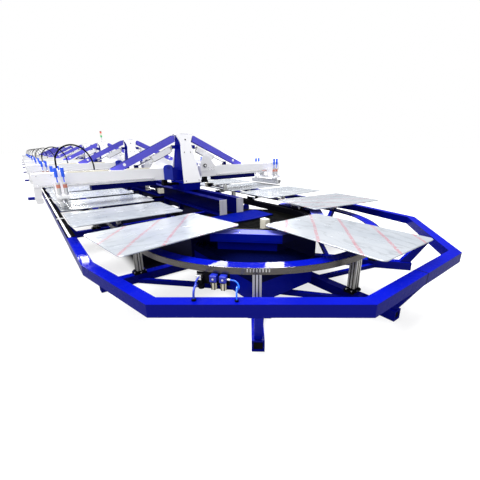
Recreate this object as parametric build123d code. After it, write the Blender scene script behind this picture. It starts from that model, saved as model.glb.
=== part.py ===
from build123d import *
from math import sin, cos, tan, radians, degrees, atan2, hypot, pi
import os

# Oval automatic textile printing machine, in millimetres.
# X is across the machine, Y along it, Z up from the floor; the origin is under the middle.

# Pallet loop: a belt round two turns, with pallets at an even pitch
pitch = 1090.0
palletsPerRun = 24
turnPalletAngle = 82.0
beltRadius = pitch / radians(turnPalletAngle)
indexAngle = 8.0
indexTravel = radians(indexAngle) * beltRadius
runEndGap = pitch - radians(90.0 - turnPalletAngle) * beltRadius
runLength = 2 * runEndGap + (palletsPerRun - 1) * pitch
turnY = -runLength / 2
firstStationPallet = 1
palletsPerStation = 3
stationCount = 8

# Outer frame of square tube
tubeSize = 100.0
tubeWall = 5.0
frameTop = 520.0
frameHalfWidth = 2200.0
shoulderHalfWidth = 1973.0
noseHalfWidth = 774.0
turnReach = 2200.0
shoulderDepth = 931.0
cornerDepth = 1951.0
sideLengths = 5
obliqueSeam = 0.56

# Floor beams, struts and posts
beamReach = 2020.0
beamAngles = (-38.5, 0.0, 38.5)
sideBeamOffset = 220.0
crossBeamCount = 9
tieSize = 50.0
tieInner = 1050.0
tieOuter = 1640.0
strutWidth = 60.0
strutFoot = 120.0
strutHead = 80.0
framePlateThickness = 10.0
framePlateLength = 160.0
postSize = 80.0
postSlotWidth = 9.0
postSlotDepth = 14.0
postSlotOffset = 20.0
postBracketSize = 150.0
postBracketHeight = 40.0
postBracketLip = 20.0
postBracketRim = 8.0

# Track ring and its straight runs
trackOuter = 1617.0
trackWidth = 121.0
trackThickness = 12.0
bandThickness = 12.0
bandDepth = 60.0
trackSectors = 6
trackLengths = 5
postInset = 1.0

# Hub housing at each turn
hubApothem = 820.0
hubWall = 6.0
hubTopOuter = 950.0
hubTopGap = 4.0
hubTopHeight = 100.0
nosePlateWidth = 900.0
nosePlateReach = 475.0
nosePlateBow = 42.5
nosePlateThickness = 20.0

# Drive cabinet and terminal box, from the turn centre
cabinetLeft = -950.0
cabinetRight = -161.0
cabinetReach = 1180.0
cabinetTop = 390.0
terminalLeft = -330.0
terminalRight = -120.0
terminalNear = 590.0
terminalFar = 390.0
terminalHeight = 150.0

# Guide rail inside the belt, and the clamps that join arms to the belt
railInner = 690.0
railOuter = 735.0
railHeight = 85.0
railBracketWidth = 60.0
railBracketBottom = 20.0
railBracketTop = 50.0
beltThickness = 16.6
beltBottom = 45.0
beltTop = 92.0
clampLength = 90.0
clampWidth = 120.0
clampLift = 5.0
tongueThickness = 12.0
beltSideGap = 12.0

# Pallet, its arm and its support roller; heights above the frame top
palletInner = 794.0
palletLength = 1350.0
palletWidth = 890.0
palletThickness = 12.0
palletCorner = 50.0
turnPalletInset = 85.0
armWidth = 90.0
armHeight = 52.0
armBottom = 108.0
armEnd = 2000.0
rollerDiameter = 60.0
rollerLength = 32.0
forkWall = 9.0

# Middle spine
spineInner = 100.0
spineWidth = 115.0
spineHeight = 245.0
spineWeb = 12.0
spineLengths = 5
spineFromTurn = 540.0
endPlateThickness = 8.0

# Tower
baseHeight = 135.0
baseHalfWidth = 168.0
baseFootHalfWidth = 150.0
towerFootDepth = 290.0
towerHeadDepth = 50.0
columnHalfWidth = 115.0
towerWall = 12.0
columnTop = 1235.0
coverThickness = 24.0
coverFootHalfWidth = 170.0
coverNeckHalfWidth = 102.0
coverHeadHalfWidth = 167.0
coverNeckZ = 1059.0

# Head, measured out from the tower line
pivotX = 374.0
pivotZ = 665.0
pivotPin = 30.0
pinClearance = 0.05
beamSize = 200.0
beamWall = 8.0
beamBottom = 455.0
beamInner = 300.0
beamOuter = 2100.0
endBoxOuter = 2384.0
endBoxBottom = 476.0
endBoxTop = 666.0
earThickness = 20.0
earOffset = 105.0
gussetThickness = 12.0
headArmWidth = 80.0
headArmWall = 6.0
handleLength = 83.0
handleWidth = 80.0
handleHeight = 35.0
handleZ = 290.0

# Lift cylinder
liftX = 200.0
liftZ = 1010.0
rodEndX = 900.0
rodEndZ = 690.0
barrelDiameter = 60.0
barrelShare = 0.62
rodDiameter = 28.0
eyeThickness = 34.0
liftPin = 20.0
openPivotClearance = 2.0
cheekThickness = 12.0

# Carriage and blades
sideRailWidth = 30.0
sideRailHeight = 20.0
sideRailZ = 480.0
sideRailInner = 640.0
sideRailOuter = 2290.0
carriageInner = 1985.0
carriageLength = 153.0
sidePlateWall = 12.0
crossBarBottom = 330.0
crossBarHeight = 35.0
crossBarLength = 740.0
bladeCylinderY = 310.0
squeegeeX = 2020.0
floodX = 2103.0
bladeCylinderDiameter = 50.0
bladeCylinderBottom = 309.0
bladeCylinderTop = 548.0
bladeRod = 16.0
knobDiameter = 44.0
knobBottom = 621.0
knobTop = 745.0
holderLength = 900.0
holderTop = 290.0
holderBottom = 232.0
holderThickness = 34.0
bladeBottom = 205.0
bladeThickness = 10.0

# General gap between pieces that move past each other
runningGap = 0.3

# Hose and tube diameters
loopHose = 22.0
airHose = 12.0
airTube = 16.0

# Air manifold under the track, and the routes of its hose and tube
# (outwards, sideways and above the frame top)
manifoldAngle = -50.0
hosePoints = [(1660, 100, -100), (1660, 136, -100), (1682, 170, -107), (1722, 192, -113),
              (1772, 206, -108), (1828, 217, -90), (1886, 228, -60), (1944, 240, -20),
              (2000, 252, 22), (2054, 263, 56), (2104, 272, 70), (2138, 279, 60),
              (2158, 284, 36), (2158, 284, 12)]
tubePoints = [(1676, -185, -102), (1716, -185, -102), (1764, -175, -107), (1820, -154, -100),
              (1882, -126, -76), (1946, -94, -38), (2008, -62, 6), (2068, -36, 46),
              (2128, -18, 74), (2178, -8, 76), (2208, -3, 52), (2208, -3, 14)]


def block(x0, x1, y0, y1, z0, z1):
    """A box given by its limits."""
    size = Box(abs(x1 - x0), abs(y1 - y0), abs(z1 - z0))
    return Pos((x0 + x1) / 2, (y0 + y1) / 2, (z0 + z1) / 2) * size


def slabAcross(points, y0, y1):
    """An outline in X and Z, between two values of Y."""
    face = Plane.XZ * Polygon(*points, align=None)
    return Pos(0, (y0 + y1) / 2, 0) * extrude(face, abs(y1 - y0) / 2, both=True)


def slabAlong(points, x0, x1):
    """An outline in Y and Z, between two values of X."""
    face = Plane.YZ * Polygon(*points, align=None)
    return Pos((x0 + x1) / 2, 0, 0) * extrude(face, abs(x1 - x0) / 2, both=True)


def slabUp(points, z0, z1):
    """An outline in X and Y, between two heights."""
    return Pos(0, 0, z0) * extrude(Polygon(*points, align=None), z1 - z0, dir=(0, 0, 1))


def rodAlongY(x, z, y0, y1, diameter):
    """A round bar along Y."""
    return Pos(x, (y0 + y1) / 2, z) * Rot(X=90) * Cylinder(diameter / 2, abs(y1 - y0))


def far(shapes):
    """The same pieces at the far end, half a turn round the middle."""
    return [Rot(Z=180) * shape for shape in shapes]


def atTurn(angle, shape):
    """A piece drawn along X from the turn centre, swung to its angle from the nose."""
    return Pos(0, turnY, 0) * Rot(Z=angle - 90) * shape


def sector(r0, r1, angle0, angle1, z0, z1):
    """Part of a flat ring round the near turn; angles run from the nose towards +X."""
    profile = Plane.XZ * Pos((r0 + r1) / 2, (z0 + z1) / 2) * Rectangle(r1 - r0, z1 - z0)
    return atTurn(angle0, revolve(profile, Axis.Z, angle1 - angle0))


def evenSteps(start, end, count):
    """Pairs that split a length into equal stretches."""
    step = (end - start) / count
    return [(start + i * step, start + (i + 1) * step) for i in range(count)]


def save(name, solids):
    """Write one node."""
    flat = []
    for shape in solids:
        flat.extend(shape.solids())
    export_step(Compound(children=flat), f"parts/{name}.step")
    print(name, len(flat))


# Shared heights and places
z0 = frameTop
trackTop = frameTop
floorBeamTop = tubeSize
bracketInner = 2290.0
bracketRoot = 94.0
bracketOuter = 2396.0
bracketBottom = 300.0
bracketEdge = 30.0
bracketHeel = 76.0
bracketNeckIn = 10.0
bracketNeckUp = 100.0
bracketWidth = 120.0
bracketFootFrom = 96.0
bracketFootTo = 6.0
bracketFootWidth = 90.0
bracketFootHeight = 64.0
bracketFootRound = 18.0
handleRise = 12.0
handleRound = 14.0
barrelShoulder = 16.0
barrelEye = 52.0
rodEye = 50.0
hangerHeight = 30.0
hangerGap = 1.0
portWidth = 60.0
portPlate = 8.0
portTop = 690.0
portReach = 60.0
portY = 80.0
portFitting = 32.0
portWall = 2.0
lampTower = 2
lampPole = 22.0
lampPoleLength = 150.0
lampBase = 68.0
lampBaseHeight = 18.0
lampLens = 60.0
lampLensHeight = 64.0
lampLenses = 3
lampCap = 62.0
lampCapHeight = 14.0
noseY = turnY - turnReach
stationY = [turnY + runEndGap + (firstStationPallet + palletsPerStation * i) * pitch
            for i in range(stationCount)]
runPalletY = [turnY + runEndGap + i * pitch for i in range(palletsPerRun)]
crossBeamY = [turnY + (i + 1) * runLength / (crossBeamCount + 1) for i in range(crossBeamCount)]
sideBeamY = [turnY + sideBeamOffset, -turnY - sideBeamOffset]
trackInner = trackOuter - trackWidth
rollerRadius = (trackInner + trackOuter) / 2
postRadius = trackOuter - postSize / 2 - postInset
beltInner = beltRadius - beltThickness
hubTopInner = beltRadius + tongueThickness + beltSideGap
armInner = beltRadius + clampLength
palletBottom = armBottom + armHeight


# Outer frame

def frameOutline():
    """Outer corners of the near end, from left to right."""
    right = [(noseHalfWidth, noseY), (shoulderHalfWidth, noseY + shoulderDepth),
             (frameHalfWidth, noseY + cornerDepth)]
    return [(-x, y) for x, y in reversed(right)] + right


def insetPoint(before, corner, after, depth):
    """The corner moved inwards by a depth square to both of its sides."""
    def side(p, q):
        run = hypot(q[0] - p[0], q[1] - p[1])
        return ((q[0] - p[0]) / run, (q[1] - p[1]) / run)
    a = side(before, corner)
    b = side(corner, after)
    bisector = (-(a[1] + b[1]), a[0] + b[0])
    reach = hypot(*bisector)
    scale = depth / (reach * (reach / 2))
    return (corner[0] + bisector[0] * scale, corner[1] + bisector[1] * scale)


def frameEnd():
    """Six mitred lengths of tube round one end; the right oblique one has a seam."""
    outline = frameOutline()
    ends = [(-frameHalfWidth, 0.0)] + outline + [(frameHalfWidth, 0.0)]

    def cornerAt(index, depth):
        return insetPoint(ends[index], ends[index + 1], ends[index + 2], depth)

    def between(p, q, share):
        return (p[0] + (q[0] - p[0]) * share, p[1] + (q[1] - p[1]) * share)

    def length(index, share0, share1, depth0, depth1, bottom, top):
        outerA, outerB = cornerAt(index, depth0), cornerAt(index + 1, depth0)
        innerA, innerB = cornerAt(index, depth1), cornerAt(index + 1, depth1)
        seamless = share0 == 0.0 and share1 == 1.0
        if not seamless:
            outer = [between(outerA, outerB, share0), between(outerA, outerB, share1)]
            inner = [between(innerA, innerB, share1), between(innerA, innerB, share0)]
            return slabUp(outer + inner, bottom, top)
        return slabUp([outerA, outerB, innerB, innerA], bottom, top)

    pieces = []
    for index in range(len(outline) - 1):
        shares = [(0.0, obliqueSeam), (obliqueSeam, 1.0)] if index == 3 else [(0.0, 1.0)]
        for share0, share1 in shares:
            skin = length(index, share0, share1, 0, tubeSize, z0 - tubeSize, z0)
            hollow = length(index, share0, share1, tubeWall, tubeSize - tubeWall,
                            z0 - tubeSize + tubeWall, z0 - tubeWall)
            pieces.append(skin - hollow)
    return pieces


def frameSide(side):
    """The straight lengths of tube along one side, mitred at both ends."""
    before, corner = frameOutline()[-2:]
    start = corner[1]
    after = (frameHalfWidth, 0.0)
    pieces = []
    for y0, y1 in evenSteps(start, -start, sideLengths):
        def outline(depth0, depth1):
            points = []
            for depth, y in ((depth0, y0), (depth0, y1), (depth1, y1), (depth1, y0)):
                shift = insetPoint(before, corner, after, depth)[1] - start
                place = y
                if y == start:
                    place = y + shift
                if abs(y + start) < 1e-6:
                    place = y - shift
                points.append((side * (frameHalfWidth - depth), place))
            return points
        skin = slabUp(outline(0, tubeSize), z0 - tubeSize, z0)
        hollow = slabUp(outline(tubeWall, tubeSize - tubeWall), z0 - tubeSize + tubeWall, z0 - tubeWall)
        pieces.append(skin - hollow)
    return pieces


# Floor beams with their struts and plates

def frameReach(angle):
    """Distance from the turn centre to the frame's outer face along an angle."""
    outline = [(x, y - turnY) for x, y in frameOutline()] + [(frameHalfWidth, 0.0)]
    outline = [(-frameHalfWidth, 0.0)] + outline
    dx, dy = sin(radians(angle)), -cos(radians(angle))
    reach = None
    for (ax, ay), (bx, by) in zip(outline, outline[1:]):
        ex, ey = bx - ax, by - ay
        cross = dx * ey - dy * ex
        if abs(cross) < 1e-9:
            continue
        along = (ax * ey - ay * ex) / cross
        share = (ax * dy - ay * dx) / cross
        if along > 0 and -1e-6 <= share <= 1 + 1e-6:
            reach = along
    return reach


def hollowBar(x0, x1):
    """Square tube along X on the floor, open at its ends."""
    half = tubeSize / 2
    inner = half - tubeWall
    skin = block(x0, x1, -half, half, 0, tubeSize)
    return skin - block(x0, x1, -inner, inner, tubeWall, tubeSize - tubeWall)


def strutAndPlate(plateCentre):
    """The widening strut from a beam end to the plate under the frame tube."""
    plateBottom = z0 - tubeSize - framePlateThickness
    strut = slabAcross([(beamReach - strutFoot, floorBeamTop), (beamReach, floorBeamTop),
                        (plateCentre + strutHead / 2, plateBottom),
                        (plateCentre - strutHead / 2, plateBottom)],
                       -strutWidth / 2, strutWidth / 2)
    plate = block(plateCentre - strutHead / 2, plateCentre + strutHead / 2,
                  -framePlateLength / 2, framePlateLength / 2, plateBottom, z0 - tubeSize)
    return [strut, plate]


def hubOctagon(apothem, bottom, top):
    """Eight-sided block round the near turn centre, flat side to the nose."""
    return Pos(0, turnY, bottom) * extrude(
        Rot(Z=22.5) * RegularPolygon(apothem, 8, major_radius=False), top - bottom)


def floorTies():
    """Light braces on the floor between neighbouring beams at the near turn."""
    def onBeam(angle, reach):
        return (reach * sin(radians(angle)), turnY - reach * cos(radians(angle)))

    left, middle, right = beamAngles
    ends = [((-tieOuter, turnY + sideBeamOffset), onBeam(left, tieInner)),
            (onBeam(left, tieInner), onBeam(middle, tieOuter)),
            (onBeam(middle, tieInner), onBeam(right, tieOuter)),
            (onBeam(right, tieInner), (tieOuter, turnY + sideBeamOffset))]
    half = tubeSize / 2
    beams = [atTurn(angle, block(0, beamReach, -half, half, 0, tubeSize)) for angle in beamAngles]
    beams.append(Pos(0, turnY + sideBeamOffset, 0) * block(-beamReach, beamReach, -half, half, 0, tubeSize))
    ties = []
    for (x0, y0), (x1, y1) in ends:
        bar = block(0, hypot(x1 - x0, y1 - y0), -tieSize / 2, tieSize / 2, 0, tieSize)
        tie = Pos(x0, y0, 0) * Rot(Z=degrees(atan2(y1 - y0, x1 - x0))) * bar
        for beam in beams:
            tie -= beam
        ties.append(tie)
    return ties


def floorBeams():
    """Beams out from each hub and across the runs, with ties, struts and plates."""
    hub = hubOctagon(hubApothem, 0, z0)
    near = []
    for angle in beamAngles:
        near.append(atTurn(angle, hollowBar(hubApothem - tubeSize, beamReach)) - hub)
        near.extend(atTurn(angle, piece) for piece in strutAndPlate(frameReach(angle) - tubeSize / 2))
    near.append(Pos(0, turnY + sideBeamOffset, 0) * hollowBar(-beamReach, beamReach) - hub)
    near += floorTies()
    pieces = near + far(near)
    for y in crossBeamY:
        pieces.append(Pos(0, y, 0) * hollowBar(-beamReach, beamReach))
    for y in crossBeamY + sideBeamY:
        for turn in (0, 180):
            strut = strutAndPlate(frameHalfWidth - tubeSize / 2)
            pieces.extend(Pos(0, y, 0) * Rot(Z=turn) * piece for piece in strut)
    return pieces


# Posts under the track

def postPlaces():
    """Each post as its place in X and Y and its turn about Z."""
    places = []
    for angle in beamAngles:
        a = radians(angle)
        places.append((postRadius * sin(a), turnY - postRadius * cos(a), angle))
    places += [(-x, -y, angle) for x, y, angle in places]
    for y in crossBeamY + sideBeamY:
        places += [(postRadius, y, 0.0), (-postRadius, y, 0.0)]
    return places


def post():
    """Slotted aluminium extrusion."""
    half = postSize / 2
    section = Rectangle(postSize, postSize)
    for turn in (0, 90, 180, 270):
        for offset in (-postSlotOffset, postSlotOffset):
            slot = Pos(half - postSlotDepth / 2, offset) * Rectangle(postSlotDepth, postSlotWidth)
            section -= Rot(Z=turn) * slot
    bottom = floorBeamTop + postBracketHeight
    return Pos(0, 0, bottom) * extrude(section, trackTop - trackThickness - bottom)


def postBracket():
    """Tapered block that seats a post on its beam."""
    foot = postBracketSize / 2
    head = postSize / 2 + postBracketRim
    lip = floorBeamTop + postBracketLip
    top = floorBeamTop + postBracketHeight
    outline = [(-foot, floorBeamTop), (foot, floorBeamTop), (foot, lip),
               (head, top), (-head, top), (-foot, lip)]
    return slabAcross(outline, -tubeSize / 2, tubeSize / 2)


# Track

def trackFlange():
    """Flat track that carries the pallet rollers."""
    bottom = trackTop - trackThickness
    turn = [sector(trackInner, trackOuter, a0, a1, bottom, trackTop)
            for a0, a1 in evenSteps(-90, 90, trackSectors)]
    runs = [block(side * trackInner, side * trackOuter, y0, y1, bottom, trackTop)
            for side in (-1, 1) for y0, y1 in evenSteps(turnY, -turnY, trackLengths)]
    return turn + far(turn) + runs


def trackBand():
    """Upright band round the outside of the track."""
    bottom = trackTop - bandDepth
    outer = trackOuter + bandThickness
    turn = [sector(trackOuter, outer, a0, a1, bottom, trackTop)
            for a0, a1 in evenSteps(-90, 90, trackSectors)]
    runs = [block(side * trackOuter, side * outer, y0, y1, bottom, trackTop)
            for side in (-1, 1) for y0, y1 in evenSteps(turnY, -turnY, trackLengths)]
    return turn + far(turn) + runs


# Hubs and drive cabinet

def octagonWalls(inner, outer, bottom, top, sides=range(8)):
    """Mitred straight lengths round the near turn centre; side 0 faces the nose."""
    def corner(apothem, index):
        reach = apothem / cos(radians(22.5))
        turn = radians(-90 - 22.5 + 45 * index)
        return (reach * cos(turn), turnY + reach * sin(turn))

    return [slabUp([corner(outer, i), corner(outer, i + 1), corner(inner, i + 1), corner(inner, i)],
                   bottom, top) for i in sides]


def hubHousing():
    """Eight-sided housing, the ring on its near half and the curved nose plate."""
    nearSides = range(-2, 3)
    ringBottom = z0 + hubTopGap
    walls = octagonWalls(hubApothem - hubWall, hubApothem, 0, z0 - hubWall)
    lid = hubOctagon(hubApothem, z0 - hubWall, z0)
    ring = octagonWalls(hubTopInner, hubTopOuter, ringBottom, z0 + hubTopHeight, nearSides)
    spacer = octagonWalls(hubTopInner, hubApothem, z0, ringBottom, nearSides)
    spineStart = turnY + spineFromTurn - endPlateThickness
    plate = Pos(0, spineStart, z0) * extrude(nosePlateFace(), nosePlateThickness)
    return walls + [lid, plate] + ring + spacer


def nosePlateFace():
    """Flat plate outline that reaches towards the nose, with a gently curved front."""
    half = nosePlateWidth / 2
    side = nosePlateReach - nosePlateBow
    front = ThreePointArc((-half, -side), (0, -nosePlateReach), (half, -side))
    back = Polyline((half, -side), (half, 0), (-half, 0), (-half, -side))
    return make_face(front.edges() + back.edges())


def driveCabinet():
    """Drive box between the hub and the nose, on the left of the middle beam."""
    box = block(cabinetLeft, cabinetRight, turnY - cabinetReach, turnY, floorBeamTop, cabinetTop)
    return [box - hubOctagon(hubApothem, 0, z0)]


def controlBlock():
    """Small terminal box on the hub's top."""
    return block(terminalLeft, terminalRight, turnY - terminalNear, turnY - terminalFar,
                 z0, z0 + terminalHeight)


# Guide rail

def guideRail():
    """Rail inside the belt: round each turn on the hub, and along each run on cross brackets."""
    top = z0 + railHeight
    turn = [sector(railInner, railOuter, a0, a1, z0, top) for a0, a1 in evenSteps(-90, 90, 9)]
    runs = [block(side * railInner, side * railOuter, y0, y1, z0, top)
            for side in (-1, 1) for y0, y1 in evenSteps(turnY, -turnY, trackLengths)]
    spineOuter = spineInner + spineWidth
    half = railBracketWidth / 2
    brackets = [block(side * spineOuter, side * railInner, y - half, y + half,
                      z0 + railBracketBottom, z0 + railBracketTop)
                for side in (-1, 1) for y in crossBeamY]
    return turn + far(turn) + runs + brackets


# Pallets with arms, rollers, belt and clamps

def pallet(inset=0.0):
    """Flat printing pallet, drawn along +X from the turn centre."""
    plate = extrude(RectangleRounded(palletLength, palletWidth, palletCorner), palletThickness)
    return Pos(palletInner - inset + palletLength / 2, 0, z0 + palletBottom) * plate


def palletArm():
    """Arm under a pallet with the fork of its support roller, and the roller."""
    half = armWidth / 2
    bar = block(armInner, armEnd, -half, half, z0 + armBottom, z0 + palletBottom)
    inner = rollerLength / 2 + runningGap
    outer = inner + forkWall
    axleZ = z0 + runningGap + rollerDiameter / 2
    lip = rollerDiameter / 2 - 4
    fork = block(rollerRadius - outer, rollerRadius + outer, -lip, lip, axleZ - 12, z0 + armBottom)
    fork -= block(rollerRadius - inner, rollerRadius + inner, -lip, lip,
                  axleZ - 12, axleZ + rollerDiameter / 2 + 4)
    roller = Pos(rollerRadius, 0, axleZ) * Rot(Y=90) * Cylinder(rollerDiameter / 2, rollerLength)
    axle = Pos(rollerRadius, 0, axleZ) * Rot(Y=90) * Cylinder(6, 2 * outer + 6)
    return [bar, fork - axle, roller + axle]


def beltClamp():
    """Block over the hub's ring that holds an arm, with a tongue down to the belt."""
    half = clampWidth / 2
    bottom = z0 + hubTopHeight + clampLift
    body = block(beltRadius, armInner, -half, half, bottom, z0 + palletBottom)
    tongue = block(beltRadius, beltRadius + tongueThickness, -half, half, z0 + beltBottom, bottom)
    return body + tongue


def turnSet(make, angles=(-turnPalletAngle, 0.0, turnPalletAngle)):
    """One piece for each pallet place of a turn."""
    pieces = []
    for angle in angles:
        made = make()
        made = made if isinstance(made, list) else [made]
        pieces.extend(atTurn(angle, piece) for piece in made)
    return pieces


def runSet(side, make):
    """One piece for each pallet place of a straight run."""
    pieces = []
    for y in runPalletY:
        made = make()
        made = made if isinstance(made, list) else [made]
        pieces.extend(Pos(0, y, 0) * Rot(Z=90 - 90 * side) * piece for piece in made)
    return pieces


def turnBelt():
    """Belt round a turn, with the clamps."""
    arcs = [sector(beltInner, beltRadius, a0, a1, z0 + beltBottom, z0 + beltTop)
            for a0, a1 in evenSteps(-turnPalletAngle, turnPalletAngle, 12)]
    return arcs + turnSet(beltClamp)


def runBelt(side):
    """Belt along a run, with the clamps."""
    start = turnY + indexTravel
    lengths = [block(side * beltInner, side * beltRadius, y0, y1, z0 + beltBottom, z0 + beltTop)
               for y0, y1 in evenSteps(start, -start, palletsPerRun // 4)]
    return lengths + runSet(side, beltClamp)


# Spine and towers

def spine():
    """Two channels along the middle, on legs from the cross beams."""
    start = turnY + spineFromTurn
    outer = spineInner + spineWidth
    pieces = []
    for side in (-1, 1):
        for y0, y1 in evenSteps(start, -start, spineLengths):
            skin = block(side * spineInner, side * outer, y0, y1, z0, z0 + spineHeight)
            skin -= block(side * (spineInner + spineWeb), side * outer, y0, y1,
                          z0 + spineWeb, z0 + spineHeight - spineWeb)
            pieces.append(skin)
        for y in crossBeamY:
            middle = side * (spineInner + spineWidth / 2)
            pieces.append(block(middle - 40, middle + 40, y - 40, y + 40, floorBeamTop, z0))
    for y0 in stationY:
        pieces.append(block(-spineInner, spineInner, y0 - 40, y0 + 40, z0 + 80, z0 + spineHeight))
    return pieces


def spineEnds():
    """End plates that close the channels at the near end."""
    start = turnY + spineFromTurn
    outer = spineInner + spineWidth
    return [block(side * (spineInner - 6), side * (outer + 3), start - endPlateThickness, start,
                  z0 + 2, z0 + spineHeight) for side in (-1, 1)]


def earOutline():
    """Side plate that holds the lift pivot, joined to the column."""
    crown = 46.0
    arc = [(pivotX + crown * cos(radians(a)) * 1.9, pivotZ + crown * sin(radians(a)))
           for a in range(0, 181, 30)]
    return [(columnHalfWidth, 430.0), (260.0, 430.0), (pivotX + crown * 1.9, 455.0)] + arc + \
        [(columnHalfWidth, 600.0)]


def towerBody():
    """Base, tapering column, pivot ears and lift-cylinder cheeks of one tower."""
    baseTop = spineHeight + baseHeight
    base = slabAcross([(-baseFootHalfWidth, z0 + spineHeight), (baseFootHalfWidth, z0 + spineHeight),
                       (baseHalfWidth, z0 + baseTop), (-baseHalfWidth, z0 + baseTop)],
                      -towerFootDepth, towerFootDepth)
    column = slabAlong([(-towerFootDepth, z0 + baseTop), (towerFootDepth, z0 + baseTop),
                        (towerHeadDepth, z0 + columnTop), (-towerHeadDepth, z0 + columnTop)],
                       -columnHalfWidth, columnHalfWidth)
    column -= slabAlong([(towerWall - towerFootDepth, z0 + baseTop + towerWall),
                         (towerFootDepth - towerWall, z0 + baseTop + towerWall),
                         (towerHeadDepth - towerWall, z0 + columnTop - towerWall),
                         (towerWall - towerHeadDepth, z0 + columnTop - towerWall)],
                        towerWall - columnHalfWidth, columnHalfWidth - towerWall)
    base -= block(towerWall - baseFootHalfWidth, baseFootHalfWidth - towerWall,
                  towerWall - towerFootDepth, towerFootDepth - towerWall,
                  z0 + spineHeight + towerWall, z0 + baseTop - towerWall)
    ear = slabAcross([(x, z0 + z) for x, z in earOutline()], earOffset, earOffset + earThickness)
    ear -= rodAlongY(pivotX, z0 + pivotZ, earOffset - 1, earOffset + earThickness + 1, pivotPin)
    pieces = [base, column, ear, Rot(Z=180) * ear]
    inner = eyeThickness / 2 + runningGap
    for turn in (0, 180):
        for side in (-1, 1):
            near, away = sorted((side * inner, side * (inner + cheekThickness)))
            cheek = block(columnHalfWidth, liftX + 28, near, away, z0 + liftZ - 30, z0 + liftZ + 30)
            cheek -= rodAlongY(liftX, z0 + liftZ, near - 1, away + 1, liftPin)
            pieces.append(Rot(Z=turn) * cheek)
    return pieces


def towerCover():
    """Waisted cover plate on the sloping face of a column."""
    baseTop = spineHeight + baseHeight
    lean = degrees(atan2(towerFootDepth - towerHeadDepth, columnTop - baseTop))
    slope = hypot(towerFootDepth - towerHeadDepth, columnTop - baseTop)
    neck = (coverNeckZ - baseTop) / (columnTop - baseTop) * slope
    half = [(coverFootHalfWidth, 0.0), (coverFootHalfWidth, 60.0), (coverNeckHalfWidth + 16, neck - 130),
            (coverNeckHalfWidth, neck - 20), (coverNeckHalfWidth + 8, neck + 45),
            (coverHeadHalfWidth, slope - 20), (coverHeadHalfWidth, slope)]
    outline = half + [(60.0, slope - 12)] + [(-x, z) for x, z in reversed([(60.0, slope - 12)])]
    outline += [(-x, z) for x, z in reversed(half)]
    plate = extrude(Plane.XZ * Polygon(*outline, align=None), coverThickness)
    return Pos(0, -towerFootDepth, z0 + baseTop) * Rot(X=-lean) * plate


def pivotPins():
    """Lift pins through ear and gusset, and the pins of the lift cylinders."""
    cap = earOffset + earThickness
    pin = rodAlongY(pivotX, z0 + pivotZ, -cap - 8, cap, pivotPin)
    head = rodAlongY(pivotX, z0 + pivotZ, cap, cap + 12, pivotPin + 24)
    inner = eyeThickness / 2 + runningGap + cheekThickness
    lift = rodAlongY(liftX, z0 + liftZ, -inner, inner, liftPin)
    return [pin + head, lift]


def restStop():
    """Bracket from the base with the block that the head rests on."""
    baseTop = spineHeight + baseHeight
    inner = baseHalfWidth - 2
    bracket = block(inner, pivotX + 86, -60, 60, z0 + baseTop - 40, z0 + baseTop)
    slope = slabAcross([(baseFootHalfWidth - 1, z0 + spineHeight), (baseHalfWidth + 1, z0 + baseTop),
                        (-baseHalfWidth, z0 + baseTop), (-baseFootHalfWidth, z0 + spineHeight)],
                       -towerFootDepth, towerFootDepth)
    stop = block(pivotX + 6, pivotX + 86, -45, 45, z0 + baseTop, z0 + beamBottom - runningGap)
    return [bracket - slope, stop]


# Head pieces, drawn for the right side with the tower at the origin

def headBeam():
    """Square beam with its end box, pivot block and gusset plate."""
    half = beamSize / 2
    top = beamBottom + beamSize
    beam = block(beamInner, beamOuter, -half, half, z0 + beamBottom, z0 + top)
    beam -= block(beamInner + beamWall, beamOuter - beamWall, -half + beamWall, half - beamWall,
                  z0 + beamBottom + beamWall, z0 + top - beamWall)
    endBox = block(beamOuter, endBoxOuter, -half, half, z0 + endBoxBottom, z0 + endBoxTop)
    endBox -= block(beamOuter + beamWall, endBoxOuter - beamWall, -half + beamWall, half - beamWall,
                    z0 + endBoxBottom + beamWall, z0 + endBoxTop - beamWall)
    bore = pivotPin + 2 * pinClearance
    hole = rodAlongY(pivotX, z0 + pivotZ, -half - 60, half + 60, bore)
    saddle = block(pivotX - 40, pivotX + 40, -half, half, z0 + top, z0 + pivotZ + 45)
    gusset = slabAcross([(280, z0 + 560), (620, z0 + 560), (620, z0 + 640), (470, z0 + 850),
                         (350, z0 + 850), (280, z0 + 700)], -half - gussetThickness, -half)
    return [beam - hole, endBox, saddle - hole, gusset - hole]


def headArm():
    """Sloping channel from the beam up beside the tower's head."""
    foot = beamBottom + beamSize
    outer = [(1130.0, foot), (1313.0, foot), (1313.0, foot + 32), (215.0, 1205.0),
             (175.0, 1195.0), (175.0, 1100.0)]
    half = headArmWidth / 2
    bar = slabAcross([(x, z0 + z) for x, z in outer], -half, half)
    drop = headArmWall * 1.3
    hollow = [(1290.0, foot), (215.0, 1205.0 - drop), (168.0, 1195.0 - drop), (168.0, 1090.0), (1090.0, foot)]
    inner = half - headArmWall
    return [bar - slabAcross([(x, z0 + z) for x, z in hollow], -inner, inner)]


def headRails():
    """Rails on both flanks of the beam for the carriage."""
    half = beamSize / 2
    return [block(sideRailInner, sideRailOuter, side * half, side * (half + sideRailWidth),
                  z0 + sideRailZ, z0 + sideRailZ + sideRailHeight) for side in (-1, 1)]


def headDriveBox():
    """Drive housing under the beam, and the cheeks for the lift rod."""
    box = block(pivotX + 236, 1650, -85, 85, z0 + 372, z0 + beamBottom)
    inner = eyeThickness / 2 + runningGap
    top = beamBottom + beamSize
    pieces = [box]
    for side in (-1, 1):
        near, away = sorted((side * inner, side * (inner + cheekThickness)))
        pieces.append(block(rodEndX - 30, rodEndX + 30, near, away, z0 + top, z0 + rodEndZ + 32))
    pin = rodAlongY(rodEndX, z0 + rodEndZ, -inner, inner, liftPin)
    return pieces + [pin]


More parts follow.
